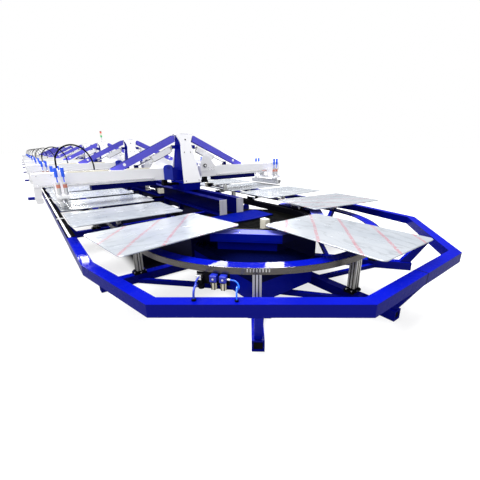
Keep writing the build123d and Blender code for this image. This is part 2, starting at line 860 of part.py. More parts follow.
def endBracket():
    """Hanging bracket at the outer end with its rounded foot block."""
    low = z0 + bracketBottom
    plate = slabAcross([(bracketInner, z0 + endBoxBottom), (bracketInner + bracketRoot, z0 + endBoxBottom),
                        (bracketOuter, low + bracketEdge), (bracketOuter, low),
                        (bracketOuter - bracketHeel, low), (bracketInner + bracketNeckIn, low + bracketNeckUp)],
                       -bracketWidth / 2, bracketWidth / 2)
    foot = fillet(block(bracketOuter - bracketFootFrom, bracketOuter - bracketFootTo,
                        -bracketFootWidth / 2, bracketFootWidth / 2,
                        low - bracketFootHeight, low).edges().filter_by(Axis.Y), bracketFootRound)
    return [plate, foot]


def endHandle():
    """Grip on the end bracket."""
    low = z0 + handleZ + handleRise
    grip = block(bracketOuter, bracketOuter + handleLength, -handleWidth / 2, handleWidth / 2,
                 low, low + handleHeight)
    return [fillet(grip.edges().filter_by(Axis.Z).group_by(Axis.X)[-1], handleRound)]


def liftBarrel():
    """Cylinder barrel with its eye, along the line from lift pin to rod end."""
    run = hypot(rodEndX - liftX, rodEndZ - liftZ)
    lean = degrees(atan2(liftZ - rodEndZ, rodEndX - liftX))
    barrelLength = run * barrelShare
    start = barrelDiameter / 2 + barrelShoulder
    body = Pos((start + barrelLength) / 2, 0, 0) * Rot(Y=90) * Cylinder(
        barrelDiameter / 2, barrelLength - start)
    tongue = block(0, start, -eyeThickness / 2, eyeThickness / 2, -barrelEye / 2, barrelEye / 2)
    eye = rodAlongY(0, 0, -eyeThickness / 2, eyeThickness / 2, barrelEye)
    barrel = body + tongue + eye
    barrel -= rodAlongY(0, 0, -eyeThickness, eyeThickness, liftPin + 2 * pinClearance)
    boreStart = barrelLength * 0.4
    barrel -= Pos((boreStart + barrelLength) / 2, 0, 0) * Rot(Y=90) * Cylinder(
        rodDiameter / 2 + pinClearance, barrelLength - boreStart)
    return [Pos(liftX, 0, z0 + liftZ) * Rot(Y=lean) * barrel]


def liftRod():
    """Cylinder rod with the eye at the beam."""
    run = hypot(rodEndX - liftX, rodEndZ - liftZ)
    lean = degrees(atan2(liftZ - rodEndZ, rodEndX - liftX))
    start = run * barrelShare * 0.5
    rod = Pos((start + run) / 2, 0, 0) * Rot(Y=90) * Cylinder(rodDiameter / 2, run - start)
    eye = rodAlongY(run, 0, -eyeThickness / 2, eyeThickness / 2, rodEye)
    rod = rod + eye
    rod -= rodAlongY(run, 0, -eyeThickness, eyeThickness, liftPin + 2 * openPivotClearance)
    return [Pos(liftX, 0, z0 + liftZ) * Rot(Y=lean) * rod]


def carriageYoke(hosePort):
    """Hanger blocks, side plates and cross bar; the port carries the hose's fitting."""
    half = beamSize / 2
    outer = carriageInner + carriageLength
    railTop = sideRailZ + sideRailHeight + runningGap
    face = half + sideRailWidth + runningGap
    pieces = []
    for side in (-1, 1):
        pieces.append(block(carriageInner, outer, side * face, side * (face + sidePlateWall),
                            z0 + crossBarBottom + crossBarHeight, z0 + railTop + hangerHeight))
        pieces.append(block(carriageInner, outer, side * (half + hangerGap), side * face,
                            z0 + railTop, z0 + railTop + hangerHeight))
    bar = block(carriageInner, outer, -crossBarLength / 2, crossBarLength / 2,
                z0 + crossBarBottom, z0 + crossBarBottom + crossBarHeight)
    for x, y in bladeCylinderPlaces():
        bar -= Pos(x, y, z0 + crossBarBottom + crossBarHeight / 2) * Cylinder(
            bladeCylinderDiameter / 2 + runningGap, crossBarHeight + 2)
    pieces.append(bar)
    if hosePort:
        plate = face + sidePlateWall
        middle = (carriageInner + outer) / 2
        low, top = z0 + portTop, z0 + portTop + portPlate
        pieces.append(block(middle - portWidth / 2, middle + portWidth / 2, plate - portPlate, plate,
                            z0 + railTop + hangerHeight, low))
        pieces.append(block(middle - portWidth / 2, middle + portWidth / 2, portReach, plate, low, top))
        pieces.append(Pos(middle, portY, top + portFitting / 2) * Cylinder(loopHose / 2 + portWall, portFitting))
    return pieces


def bladeCylinderPlaces():
    """Places of the four blade cylinders of a carriage."""
    return [(x, y) for x in (squeegeeX, floodX) for y in (-bladeCylinderY, bladeCylinderY)]


def bladeCylinders():
    """Air cylinders that press the blades down, with bores for the blade rods."""
    pieces = []
    for x, y in bladeCylinderPlaces():
        height = bladeCylinderTop - bladeCylinderBottom
        body = Pos(x, y, z0 + bladeCylinderBottom + height / 2) * Cylinder(
            bladeCylinderDiameter / 2, height)
        body -= Pos(x, y, z0 + bladeCylinderBottom + 50) * Cylinder(bladeRod / 2 + pinClearance, 100)
        pieces.append(body)
    return pieces


def bladeKnobs():
    """Height knobs on stems above the blade cylinders."""
    pieces = []
    for x, y in bladeCylinderPlaces():
        stem = Pos(x, y, z0 + (bladeCylinderTop + knobBottom) / 2) * Cylinder(
            bladeRod / 2, knobBottom - bladeCylinderTop)
        knob = Pos(x, y, z0 + (knobBottom + knobTop) / 2) * Cylinder(knobDiameter / 2, knobTop - knobBottom)
        pieces.append(stem + knob)
    return pieces


def bladeHolder(x, tilt):
    """Holder with its two rods, and the blade below it."""
    half = holderThickness / 2
    holder = block(x - half, x + half, -holderLength / 2, holderLength / 2,
                   z0 + holderBottom, z0 + holderTop)
    for y in (-bladeCylinderY, bladeCylinderY):
        rodTop = bladeCylinderBottom + 60
        holder += Pos(x, y, z0 + (holderTop + rodTop) / 2) * Cylinder(bladeRod / 2, rodTop - holderTop)
    blade = block(x - bladeThickness / 2, x + bladeThickness / 2, -holderLength / 2 + tilt,
                  holderLength / 2 - tilt, z0 + bladeBottom, z0 + holderBottom)
    return [holder, blade]


def headSet(side, make):
    """One set of head pieces at each station; the left side is half a turn round."""
    pieces = []
    for y in stationY:
        turn = 0 if side > 0 else 180
        pieces.extend(Pos(0, y, 0) * Rot(Z=turn) * piece for piece in make())
    return pieces


# Hoses

def tubeAlong(points, diameter, name):
    """Round tube along straight runs joined by arcs as large as the runs allow."""
    radii = []
    for a, b, c in zip(points, points[1:], points[2:]):
        before, after = Vector(b) - Vector(a), Vector(c) - Vector(b)
        half = radians(before.get_angle(after)) / 2
        radii.append(0.45 * min(before.length, after.length) / tan(half))
    route = FilletPolyline(*points, radius=radii)
    start = Plane(origin=route @ 0, z_dir=route % 0)
    tube = sweep(start * Circle(diameter / 2), path=route)
    share = tube.volume / (pi * (diameter / 2) ** 2 * route.length)
    print(name, "length", round(route.length, 1), "radii", [round(r) for r in radii],
          "volume share", round(share, 4))
    return tube


def loopRoute():
    """Route of a head hose on the right-hand drawing, from carriage port to beam."""
    middle = carriageInner + carriageLength / 2
    return [(middle, 80, z0 + 730), (middle, 80, z0 + 796), (2056, 66, z0 + 876), (2016, 48, z0 + 950),
            (1955, 26, z0 + 1011), (1884, 6, z0 + 1046), (1803, -14, z0 + 1056),
            (1727, -32, z0 + 1038), (1656, -48, z0 + 992), (1602, -58, z0 + 926),
            (1562, -65, z0 + 848), (1542, -68, z0 + 766), (1542, -68, z0 + 685)]


def loopFitting():
    """Fitting on the beam for the fixed end of a head hose."""
    x, y, z = loopRoute()[-1]
    top = beamBottom + beamSize
    return [Pos(x, y, (z0 + top + z) / 2) * Cylinder(loopHose / 2 + 2, z - z0 - top)]


def manifoldPoint(x, y, z):
    """A point given outwards, sideways and above the frame top, at the air manifold."""
    return tuple(atTurn(manifoldAngle, Pos(x, y, z0 + z)).position)


def airRegulators():
    """Two filter regulators and a valve under the track band, and fittings on the frame."""
    outer = trackOuter + bandThickness
    pieces = [block(outer - 8, outer, -215, 90, z0 - 175, z0 - bandDepth)]
    for offset in (-47, 40):
        head = block(outer, outer + 62, offset - 31, offset + 31, z0 - 128, z0 - 74)
        bowl = Pos(outer + 31, offset, z0 - 128 - 32) * Cylinder(22, 64)
        tip = Pos(outer + 31, offset, z0 - 128 - 64 - 6) * Cylinder(9, 12)
        pieces += [head, bowl + tip]
    pieces.append(rodAlongY(outer + 31, z0 - 100, 71, 100, airHose + 6))
    pieces.append(block(outer, outer + 47, -210, -160, z0 - 122, z0 - 82))
    pieces.append(Pos(outer + 24, -185, z0 - 122 - 22) * Cylinder(16, 44))
    hoseEnd, tubeEnd = hosePoints[-1], tubePoints[-1]
    for (x, y, z), bore in ((hoseEnd, airHose), (tubeEnd, airTube)):
        pieces.append(Pos(x, y, z0 + z / 2) * Cylinder(bore / 2 + 8, z))
    return [atTurn(manifoldAngle, piece) for piece in pieces]


def signalLamp():
    """Lamp pole on the third tower."""
    foot = z0 + columnTop
    upright = (Align.CENTER, Align.CENTER, Align.MIN)
    pieces = [Pos(0, 0, foot) * Cylinder(lampBase / 2, lampBaseHeight, align=upright),
              Pos(0, 0, foot + lampBaseHeight) * Cylinder(lampPole / 2, lampPoleLength, align=upright)]
    height = foot + lampBaseHeight + lampPoleLength
    for lens in range(lampLenses):
        pieces.append(Pos(0, 0, height) * Cylinder(lampLens / 2, lampLensHeight, align=upright))
        height += lampLensHeight
    pieces.append(Pos(0, 0, height) * Cylinder(lampCap / 2, lampCapHeight, align=upright))
    return [Pos(0, stationY[lampTower], 0) * piece for piece in pieces]


def main():
    os.makedirs("parts", exist_ok=True)
    save("frame_end_near", frameEnd())
    save("frame_end_far", far(frameEnd()))
    save("frame_side_left", frameSide(-1))
    save("frame_side_right", frameSide(1))
    save("floor_beams", floorBeams())
    places = postPlaces()
    save("track_posts", [Pos(x, y, 0) * Rot(Z=a) * post() for x, y, a in places])
    save("post_brackets", [Pos(x, y, 0) * Rot(Z=a) * postBracket() for x, y, a in places])
    save("track_flange", trackFlange())
    save("track_band", trackBand())
    save("hub_housings", hubHousing() + far(hubHousing()))
    save("drive_cabinet", driveCabinet())
    save("control_block", [controlBlock()])
    save("guide_rail", guideRail())
    save("spine_beams", spine())
    save("spine_end_plates", spineEnds() + far(spineEnds()))
    save("towers", [Pos(0, y, 0) * piece for y in stationY for piece in towerBody()])
    cover = towerCover()
    save("tower_covers", [Pos(0, y, 0) * Rot(Z=turn) * cover for y in stationY for turn in (0, 180)])
    pins = pivotPins()
    pins += far(pins)
    save("pivot_pins", [Pos(0, y, 0) * pin for y in stationY for pin in pins])
    stops = restStop()
    stops += far(stops)
    save("rest_stops", [Pos(0, y, 0) * stop for y in stationY for stop in stops])
    save("signal_lamp", signalLamp())
    save("air_regulators", airRegulators())
    savePallets()
    saveHeads()


def savePallets():
    """The four groups of pallets that index together."""
    near = {"pallets": turnSet(lambda: pallet(turnPalletInset)), "arms": turnSet(palletArm), "belt": turnBelt()}
    for kind, pieces in near.items():
        save(f"{kind}_near_turn", pieces)
        save(f"{kind}_far_turn", far(pieces))
    for name, side in (("left", -1), ("right", 1)):
        save(f"pallets_{name}_run", runSet(side, pallet))
        save(f"arms_{name}_run", runSet(side, palletArm))
        save(f"belt_{name}_run", runBelt(side))


def saveHeads():
    """The print heads of each side."""
    for name, side in (("left", -1), ("right", 1)):
        hosed = side < 0
        save(f"head_beams_{name}", headSet(side, headBeam))
        save(f"head_arms_{name}", headSet(side, headArm))
        save(f"head_rails_{name}", headSet(side, headRails))
        save(f"head_drives_{name}", headSet(side, headDriveBox)
             + (headSet(side, loopFitting) if hosed else []))
        save(f"end_brackets_{name}", headSet(side, endBracket) + headSet(side, endHandle))
        save(f"lift_barrels_{name}", headSet(side, liftBarrel))
        save(f"lift_rods_{name}", headSet(side, liftRod))
        save(f"carriages_{name}", headSet(side, lambda: carriageYoke(hosed)))
        save(f"blade_cylinders_{name}", headSet(side, bladeCylinders))
        save(f"blade_knobs_{name}", headSet(side, bladeKnobs))
        save(f"squeegees_{name}", headSet(side, lambda: bladeHolder(squeegeeX, 0)))
        save(f"flood_bars_{name}", headSet(side, lambda: bladeHolder(floodX, 20)))
    hose = tubeAlong(loopRoute(), loopHose, "head hose")
    save("hose_loops_left", headSet(-1, lambda: [hose]))
    save("air_hose", [tubeAlong([manifoldPoint(*p) for p in hosePoints], airHose, "air hose")])
    save("air_tube", [tubeAlong([manifoldPoint(*p) for p in tubePoints], airTube, "air tube")])


main()
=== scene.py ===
import bpy
import bmesh
from itertools import product
from math import sin, cos, radians, pi
from mathutils import Vector, Matrix


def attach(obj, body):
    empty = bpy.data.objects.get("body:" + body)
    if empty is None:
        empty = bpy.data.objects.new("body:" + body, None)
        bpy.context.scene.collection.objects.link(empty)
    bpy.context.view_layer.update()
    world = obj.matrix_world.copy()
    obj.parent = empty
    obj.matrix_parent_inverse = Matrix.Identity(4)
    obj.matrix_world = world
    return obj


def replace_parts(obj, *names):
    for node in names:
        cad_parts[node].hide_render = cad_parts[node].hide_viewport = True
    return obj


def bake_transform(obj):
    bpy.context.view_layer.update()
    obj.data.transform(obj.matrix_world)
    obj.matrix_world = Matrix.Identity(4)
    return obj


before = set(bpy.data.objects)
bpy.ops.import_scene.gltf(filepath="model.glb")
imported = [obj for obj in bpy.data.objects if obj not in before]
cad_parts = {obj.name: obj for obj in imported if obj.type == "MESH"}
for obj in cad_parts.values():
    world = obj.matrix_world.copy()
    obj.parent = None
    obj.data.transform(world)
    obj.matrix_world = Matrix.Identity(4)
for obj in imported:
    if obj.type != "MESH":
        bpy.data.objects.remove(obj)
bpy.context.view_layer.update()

# Layout shared with the frame, in metres
frameTop = 0.520
pitch = 1.090
beltRadius = pitch / radians(82.0)
runEndGap = pitch - radians(8.0) * beltRadius
palletsPerRun = 24
runLength = 2 * runEndGap + (palletsPerRun - 1) * pitch
turnY = -runLength / 2
stationY = [turnY + runEndGap + (1 + 3 * i) * pitch for i in range(8)]
runPalletY = [turnY + runEndGap + i * pitch for i in range(palletsPerRun)]
sides = {"left": 180.0, "right": 0.0}  # turn of each side's heads about Z
beamAngles = (-38.5, 0.0, 38.5)  # swing of the floor beams at each turn


# Small mesh tools

# A new object in the scene
def linked(name, data):
    obj = bpy.data.objects.new(name, data)
    bpy.context.scene.collection.objects.link(obj)
    return obj


# The mesh an object shows, with its modifiers or its curve settings
def shownMesh(obj):
    graph = bpy.context.evaluated_depsgraph_get()
    return bpy.data.meshes.new_from_object(obj.evaluated_get(graph), depsgraph=graph)


# A finished object from a bmesh, at the origin, riding on its body
def newObject(name, bm, material, body=None):
    bmesh.ops.recalc_face_normals(bm, faces=bm.faces)
    mesh = bpy.data.meshes.new(name)
    bm.to_mesh(mesh)
    bm.free()
    obj = linked(name, mesh)
    mesh.materials.append(material)
    if body:
        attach(obj, body)
    return obj


def roundEdges(bm, edges, width):
    bmesh.ops.bevel(bm, geom=edges, offset=width, segments=2, profile=0.6, affect="EDGES")


# A box between two corners, with rounded edges
def addBox(bm, low, high, bevel=0.0, turn=None):
    part = bmesh.new()
    size = [high[i] - low[i] for i in range(3)]
    middle = [(high[i] + low[i]) / 2 for i in range(3)]
    bmesh.ops.create_cube(part, size=1.0)
    bmesh.ops.scale(part, vec=size, verts=part.verts)
    if bevel:
        roundEdges(part, part.edges[:], bevel)
    bmesh.ops.translate(part, vec=middle, verts=part.verts)
    join(bm, part, turn)


# A round bar or cone between two points
def addRod(bm, start, end, radius, segments=20, radiusEnd=None, bevel=0.002, turn=None):
    start, end = Vector(start), Vector(end)
    along = end - start
    part = bmesh.new()
    radiusEnd = radius if radiusEnd is None else radiusEnd
    bmesh.ops.create_cone(part, cap_ends=True, segments=segments, radius1=radius,
                          radius2=radiusEnd, depth=along.length)
    rims = [e for e in part.edges if len(e.link_faces) == 2
            and any(len(f.verts) > 4 for f in e.link_faces)]
    roundEdges(part, rims, bevel)
    spin = Vector((0, 0, 1)).rotation_difference(along).to_matrix().to_4x4()
    part.transform(Matrix.Translation((start + end) / 2) @ spin)
    join(bm, part, turn)


# Adds one bmesh to another
def join(bm, part, turn=None):
    if turn is not None:
        part.transform(turn)
    bmesh.ops.recalc_face_normals(part, faces=part.faces)
    mesh = bpy.data.meshes.new("join")
    part.to_mesh(mesh)
    part.free()
    bm.from_mesh(mesh)
    bpy.data.meshes.remove(mesh)


# A move and a turn about Z, in degrees
def place(x, y, z=0.0, turn=0.0):
    return Matrix.Translation((x, y, z)) @ Matrix.Rotation(radians(turn), 4, "Z")


# The frame at a turn centre, with X swung from the nose towards +X
def atTurn(angle, far=False):
    base = place(0, turnY, 0, angle - 90)
    return (Matrix.Rotation(pi, 4, "Z") @ base) if far else base


def atBothTurns(angles):
    return [atTurn(a, far) for a in angles for far in (False, True)]


# Node group: a template at each point, turned by the point's own angle, as one real mesh
def repeatTree():
    tree = bpy.data.node_groups.new("repeatPiece", "GeometryNodeTree")
    face = tree.interface
    face.new_socket(name="Geometry", in_out="OUTPUT", socket_type="NodeSocketGeometry")
    sockets = {}
    for name, kind in (("Places", "Geometry"), ("Template", "Object"), ("Finish", "Material"),
                       ("Size", "Float")):
        socket = face.new_socket(name=name, in_out="INPUT", socket_type="NodeSocket" + kind)
        sockets[name] = socket.identifier
    given, info, angle, instance, real, paint, out = [tree.nodes.new(kind) for kind in (
        "NodeGroupInput", "GeometryNodeObjectInfo", "GeometryNodeInputNamedAttribute",
        "GeometryNodeInstanceOnPoints", "GeometryNodeRealizeInstances",
        "GeometryNodeSetMaterial", "NodeGroupOutput")]
    info.transform_space = "ORIGINAL"
    angle.data_type = "FLOAT_VECTOR"
    angle.inputs["Name"].default_value = "angles"
    for start, output, end, entry in (
            (given, "Template", info, "Object"), (given, "Places", instance, "Points"),
            (info, "Geometry", instance, "Instance"), (angle, "Attribute", instance, "Rotation"),
            (given, "Size", instance, "Scale"), (instance, "Instances", real, "Geometry"),
            (real, "Geometry", paint, "Geometry"), (given, "Finish", paint, "Material"),
            (paint, "Geometry", out, "Geometry")):
        tree.links.new(start.outputs[output], end.inputs[entry])
    return tree, sockets


repeatGroup, repeatSockets = repeatTree()


# One mesh that holds the drawn piece at each place (a 4x4 matrix each)
def repeatPiece(name, bm, places, material, body="machine"):
    template = newObject(name + "Template", bm, material)
    points = bpy.data.meshes.new(name + "Points")
    points.from_pydata([m.to_translation() for m in places], [], [])
    store = points.attributes.new("angles", "FLOAT_VECTOR", "POINT")
    for item, m in zip(store.data, places):
        item.vector = m.to_euler("XYZ")
    carrier = linked(name + "Carrier", points)
    modifier = carrier.modifiers.new("repeat", "NODES")
    modifier.node_group = repeatGroup
    for socket, value in (("Template", template), ("Finish", material), ("Size", 1.0)):
        modifier[repeatSockets[socket]] = value
    mesh = shownMesh(carrier)
    for extra in (carrier, template):
        old = extra.data
        bpy.data.objects.remove(extra)
        bpy.data.meshes.remove(old)
    mesh.name = name
    obj = linked(name, mesh)
    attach(obj, body)


# Materials

# Gives an input a socket, a number or a colour
def feed(entry, value):
    if isinstance(value, bpy.types.NodeSocket):
        entry.id_data.links.new(value, entry)
    else:
        entry.default_value = (*value, 1.0) if isinstance(value, tuple) else value


# Feeds several named inputs of a node
def setInputs(node, values):
    for name, value in values.items():
        feed(node.inputs[name], value)


# A node beside the first socket among some values
def newNode(kind, *values):
    socket = next(v for v in values if isinstance(v, bpy.types.NodeSocket))
    return socket.id_data.nodes.new(kind)


# An empty material with its shader and its object coordinates
def newMaterial(name):
    material = bpy.data.materials.new(name)
    material.use_nodes = True
    nodes = material.node_tree.nodes
    coords = nodes.new("ShaderNodeTexCoord")
    return material, nodes["Principled BSDF"], coords.outputs["Object"]


# A noise texture on coordinates, stretched if asked
def noiseOf(source, scale, detail=4.0, stretch=None):
    noise = newNode("ShaderNodeTexNoise", source)
    if stretch:
        mapping = newNode("ShaderNodeMapping", source)
        mapping.inputs["Scale"].default_value = stretch
        feed(mapping.inputs["Vector"], source)
        source = mapping.outputs["Vector"]
    setInputs(noise, {"Scale": scale, "Detail": detail, "Vector": source})
    return noise.outputs["Fac"]


# A colour ramp; each stop is a place and a colour
def rampOf(source, stops, between="LINEAR"):
    ramp = newNode("ShaderNodeValToRGB", source)
    ramp.color_ramp.interpolation = between
    items = ramp.color_ramp.elements
    for index, (at, colour) in enumerate(stops):
        item = items[index] if index < 2 else items.new(at)
        item.position = at
        item.color = (*colour, 1.0)
    feed(ramp.inputs["Fac"], source)
    return ramp.outputs["Color"]


def grey(value):
    return (value, value, value)


# A bump from a height
def bumpOf(source, strength, distance):
    bump = newNode("ShaderNodeBump", source)
    setInputs(bump, {"Strength": strength, "Distance": distance, "Height": source})
    return bump.outputs["Normal"]


# The X, Y and Z of a vector
def partsOf(source):
    parts = newNode("ShaderNodeSeparateXYZ", source)
    feed(parts.inputs["Vector"], source)
    return parts.outputs


# One maths step on sockets or plain numbers
def mathOf(kind, *values):
    node = newNode("ShaderNodeMath", *values)
    node.operation = kind
    for entry, value in zip(node.inputs, values):
        feed(entry, value)
    return node.outputs[0]


# A mix of two colours; the amount and the colours are sockets or plain values
def mixOf(amount, first, second, kind="MIX"):
    mix = newNode("ShaderNodeMix", amount, first, second)
    mix.data_type = "RGBA"
    mix.blend_type = kind
    for index, value in ((0, amount), (6, first), (7, second)):
        feed(mix.inputs[index], value)
    return mix.outputs[2]


# Sprayed paint: slight cloudiness, uneven gloss and fine orange peel
def paintFinish(name, colour, rough, coat=0.3, vary=0.10, peel=0.012, gloss=0.05, ior=1.12):
    material, shader, local = newMaterial(name)
    light = [min(1.0, c * (1 + vary)) for c in colour]
    dark = [c * (1 - vary) for c in colour]
    smear = [(0.3, grey(rough * 0.8)), (0.7, grey(rough * 1.25))]
    setInputs(shader, {
        "Base Color": rampOf(noiseOf(local, 2.2, 3.0), [(0.3, dark), (0.7, light)]),
        "Roughness": rampOf(noiseOf(local, 9.0, 5.0), smear),
        "Normal": bumpOf(noiseOf(local, 260.0, 2.0), peel, 0.002),
        "Specular IOR Level": gloss, "IOR": ior, "Coat Weight": coat, "Coat Roughness": 0.05})
    return material


# Bare metal with a drawn or brushed grain
def metalFinish(name, colour, rough, stretch=(1.0, 1.0, 0.1), scale=40.0, grain=0.05, metal=1.0):
    material, shader, local = newMaterial(name)
    lines = noiseOf(local, scale, 6.0, stretch)
    light = [min(1.0, c * 1.08) for c in colour]
    dark = [c * 0.86 for c in colour]
    patch = [(0.3, grey(rough * 0.75)), (0.7, grey(rough * 1.3))]
    setInputs(shader, {
        "Base Color": rampOf(lines, [(0.35, dark), (0.65, light)]),
        "Roughness": rampOf(noiseOf(local, 5.0, 4.0), patch),
        "Normal": bumpOf(lines, grain, 0.0006), "Metallic": metal})
    return material


# Moulded plastic or rubber with a fine surface
def plasticFinish(name, colour, rough, texture=0.08, scale=400.0, gloss=0.5, ior=1.5):
    material, shader, local = newMaterial(name)
    tone = noiseOf(local, 12.0, 3.0)
    light = [min(1.0, c * 1.1 + 0.004) for c in colour]
    dark = [c * 0.88 for c in colour]
    setInputs(shader, {
        "Base Color": rampOf(tone, [(0.3, dark), (0.7, light)]),
        "Roughness": rampOf(tone, [(0.3, grey(rough * 0.85)), (0.7, grey(rough * 1.15))]),
        "Normal": bumpOf(noiseOf(local, scale, 2.0), texture, 0.001),
        "Specular IOR Level": gloss, "IOR": ior})
    return material


# Aluminium plate under a pale film, with slanting tracer lines on the sheets that carry them
def palletFinish():
    sizes = {"spacing": 0.302, "width": 0.015, "dash": 60.0, "gaps": 0.44, "red": 0.46,
             "wander": 0.05, "noLine": 0.9, "wrinkle": 0.022,
             "film": [(0.3, (0.29, 0.32, 0.36)), (0.7, (0.39, 0.41, 0.44))],
             "ink": (0.42, 0.05, 0.08)}
    material, shader = newMaterial("palletFilm")[:2]

    def attribute(name):
        node = material.node_tree.nodes.new("ShaderNodeAttribute")
        node.attribute_name = name
        return node.outputs["Vector"]

    local = attribute("palletPlace")
    lay = partsOf(attribute("tracerLine"))  # the lines' lean in X and Y, their start in Z
    base = rampOf(noiseOf(local, 1.4, 3.0), sizes["film"])
    vein = noiseOf(local, 2.6, 6.0, (0.6, 1.6, 1.0))
    wrinkle = mathOf("ABSOLUTE", mathOf("SUBTRACT", vein, 0.5))
    # Painted shade in the film's creases: the colour is darkened along the wrinkle lines.
    shade = rampOf(wrinkle, [(0.0, grey(0.80)), (sizes["wrinkle"], grey(1.0))])
    creaseShaded = mixOf(1.0, base, shade, "MULTIPLY")
    parts = partsOf(local)
    along = mathOf("MULTIPLY", parts["X"], lay["X"])
    over = mathOf("MULTIPLY", parts["Y"], lay["Y"])
    wander = mathOf("MULTIPLY", noiseOf(local, 1.1, 2.0), sizes["wander"])
    across = mathOf("ADD", mathOf("ADD", along, over), wander)
    shifted = mathOf("SUBTRACT", across, lay["Z"])
    marked = mathOf("LESS_THAN", lay["Z"], sizes["noLine"])
    phase = mathOf("WRAP", shifted, sizes["spacing"] / 2, -sizes["spacing"] / 2)
    onLine = mathOf("LESS_THAN", mathOf("ABSOLUTE", phase), sizes["width"])
    onDash = mathOf("GREATER_THAN", noiseOf(local, sizes["dash"], 2.0), sizes["gaps"])
    both = mathOf("MULTIPLY", mathOf("MULTIPLY", onLine, onDash), marked)
    streak = noiseOf(local, 4.0, 3.0, (1.0, 2.0, 1.0))
    setInputs(shader, {
        "Base Color": mixOf(mathOf("MULTIPLY", both, sizes["red"]), creaseShaded, sizes["ink"]),
        "Roughness": rampOf(streak, [(0.3, grey(0.16)), (0.72, grey(0.30))]),
        "Normal": bumpOf(vein, 0.03, 0.004),
        "Metallic": 0.25, "Coat Weight": 0.25, "Coat Roughness": 0.12})
    return material


# Signal lamp lenses: green below, red above, on a pale pole
def lampFinish():
    sizes = {"foot": frameTop + 1.235, "height": 0.374, "ribs": 60.0}
    stops = [(0.0, grey(0.62)), (0.449, (0.10, 0.55, 0.22)), (0.62, (0.75, 0.70, 0.55)),
             (0.791, (0.80, 0.10, 0.06)), (0.962, grey(0.12))]
    material, shader, local = newMaterial("lampColours")
    spread = newNode("ShaderNodeMapRange", local)
    setInputs(spread, {"From Min": sizes["foot"], "From Max": sizes["foot"] + sizes["height"],
                       "Value": partsOf(local)["Z"]})
    rib = newNode("ShaderNodeTexWave", local)
    rib.bands_direction = "Z"
    setInputs(rib, {"Scale": sizes["ribs"], "Vector": local})
    setInputs(shader, {"Base Color": rampOf(spread.outputs["Result"], stops, "CONSTANT"),
                       "Normal": bumpOf(rib.outputs["Fac"], 0.25, 0.002), "Roughness": 0.25})
    return material


# Recolours the part of a painted piece whose own coordinate lies between two values
def splitFinish(material, axis, low, high, colour):
    nodes = material.node_tree.nodes
    entry = nodes["Principled BSDF"].inputs["Base Color"]
    painted = entry.links[0].from_socket
    source, letter = axis
    where = partsOf(nodes["Texture Coordinate"].outputs[source])[letter]
    away = mathOf("ABSOLUTE", where)
    over = mathOf("GREATER_THAN", away, low)
    under = mathOf("LESS_THAN", away, high)
    feed(entry, mixOf(mathOf("MULTIPLY", over, under), painted, colour))
    return material


# Blue paint with painted shade: faces that don't face up or down are painted darker than the tops.
bluePaint = splitFinish(paintFinish("bluePaint", (0.001, 0.004, 0.25), 0.26, 0.13),
                        ("Normal", "Z"), -1.0, 0.5, (0.001, 0.003, 0.155))
# Cabinet paint with painted shade: the cabinet above 0.305 m height is painted nearly black.
cabinetPaint = splitFinish(paintFinish("cabinetPaint", (0.001, 0.004, 0.20), 0.30, 0.10),
                           ("Object", "Z"), 0.305, 9.0, (0.001, 0.002, 0.028))
towerPaint = splitFinish(paintFinish("towerPaint", (0.001, 0.004, 0.22), 0.30, 0.12),
                         ("Object", "X"), 0.300, 9.0, (0.030, 0.045, 0.42))
pinPaint = paintFinish("pinPaint", (0.020, 0.030, 0.30), 0.30, 0.2)
# Head arm paint with painted light and shade by face direction: side faces a pale lavender
# highlight, faces up and down dark navy.
armPaint = splitFinish(paintFinish("armPaint", (0.120, 0.112, 0.64), 0.32, 0.08),
                       ("Normal", "Z"), 0.5, 2.0, (0.004, 0.006, 0.10))
hubPaint = paintFinish("hubPaint", (0.001, 0.005, 0.24), 0.34, 0.02, ior=1.05)
# Painted shade and highlight on the hub's flat tops, by height over the frame: black in the well at
# the frame top, dark blue on the plate 20 mm up, a pale lavender highlight on the ring top 100 mm
# up.
hubTopShadeAndHighlight = {0.0: grey(0.0015), 0.020: (0.001, 0.004, 0.13), 0.100: (0.14, 0.15, 0.62)}
hubReach = 0.003
for level, colour in hubTopShadeAndHighlight.items():  # the flat tops by their height over the frame
    low, high = frameTop + level - hubReach, frameTop + level + hubReach
    splitFinish(hubPaint, ("Object", "Z"), low, high, colour)
# Painted shade: hub walls facing X and Y are painted nearly black.
hubWallShade = {"X": (0.001, 0.001, 0.018), "Y": (0.004, 0.004, 0.035)}
for axis, colour in hubWallShade.items():
    splitFinish(hubPaint, ("Normal", axis), 0.9, 2.0, colour)
bracketPaint = splitFinish(paintFinish("bracketPaint", (0.84, 0.84, 0.85), 0.34, 0.2, 0.03),
                           ("Object", "X"), 2.397, 9.0, (0.004, 0.008, 0.22))
whitePaint = paintFinish("whitePaint", (0.88, 0.88, 0.90), 0.34, 0.2, 0.02)
navyPaint = paintFinish("navyPaint", (0.001, 0.002, 0.075), 0.32, 0.05)
blackMetal = paintFinish("blackMetal", (0.003, 0.003, 0.005), 0.30, 0.10, gloss=0.02)
silver = metalFinish("silver", (0.74, 0.73, 0.69), 0.34)
plateSilver = metalFinish("plateSilver", (0.60, 0.60, 0.58), 0.55, metal=0.1)
castSilver = metalFinish("castSilver", (0.80, 0.80, 0.82), 0.38, (1.0, 1.0, 1.0), 180.0, 0.3)
chrome = metalFinish("chrome", (0.80, 0.80, 0.82), 0.12, (1.0, 1.0, 1.0), 30.0)
pallet = palletFinish()
bluePlastic = plasticFinish("bluePlastic", (0.01, 0.10, 0.82), 0.28)
hoseBlue = plasticFinish("hoseBlue", (0.01, 0.12, 0.85), 0.22, 0.05)
rubber = plasticFinish("blackRubber", (0.004, 0.004, 0.005), 0.6, 0.1, gloss=0.05, ior=1.03)
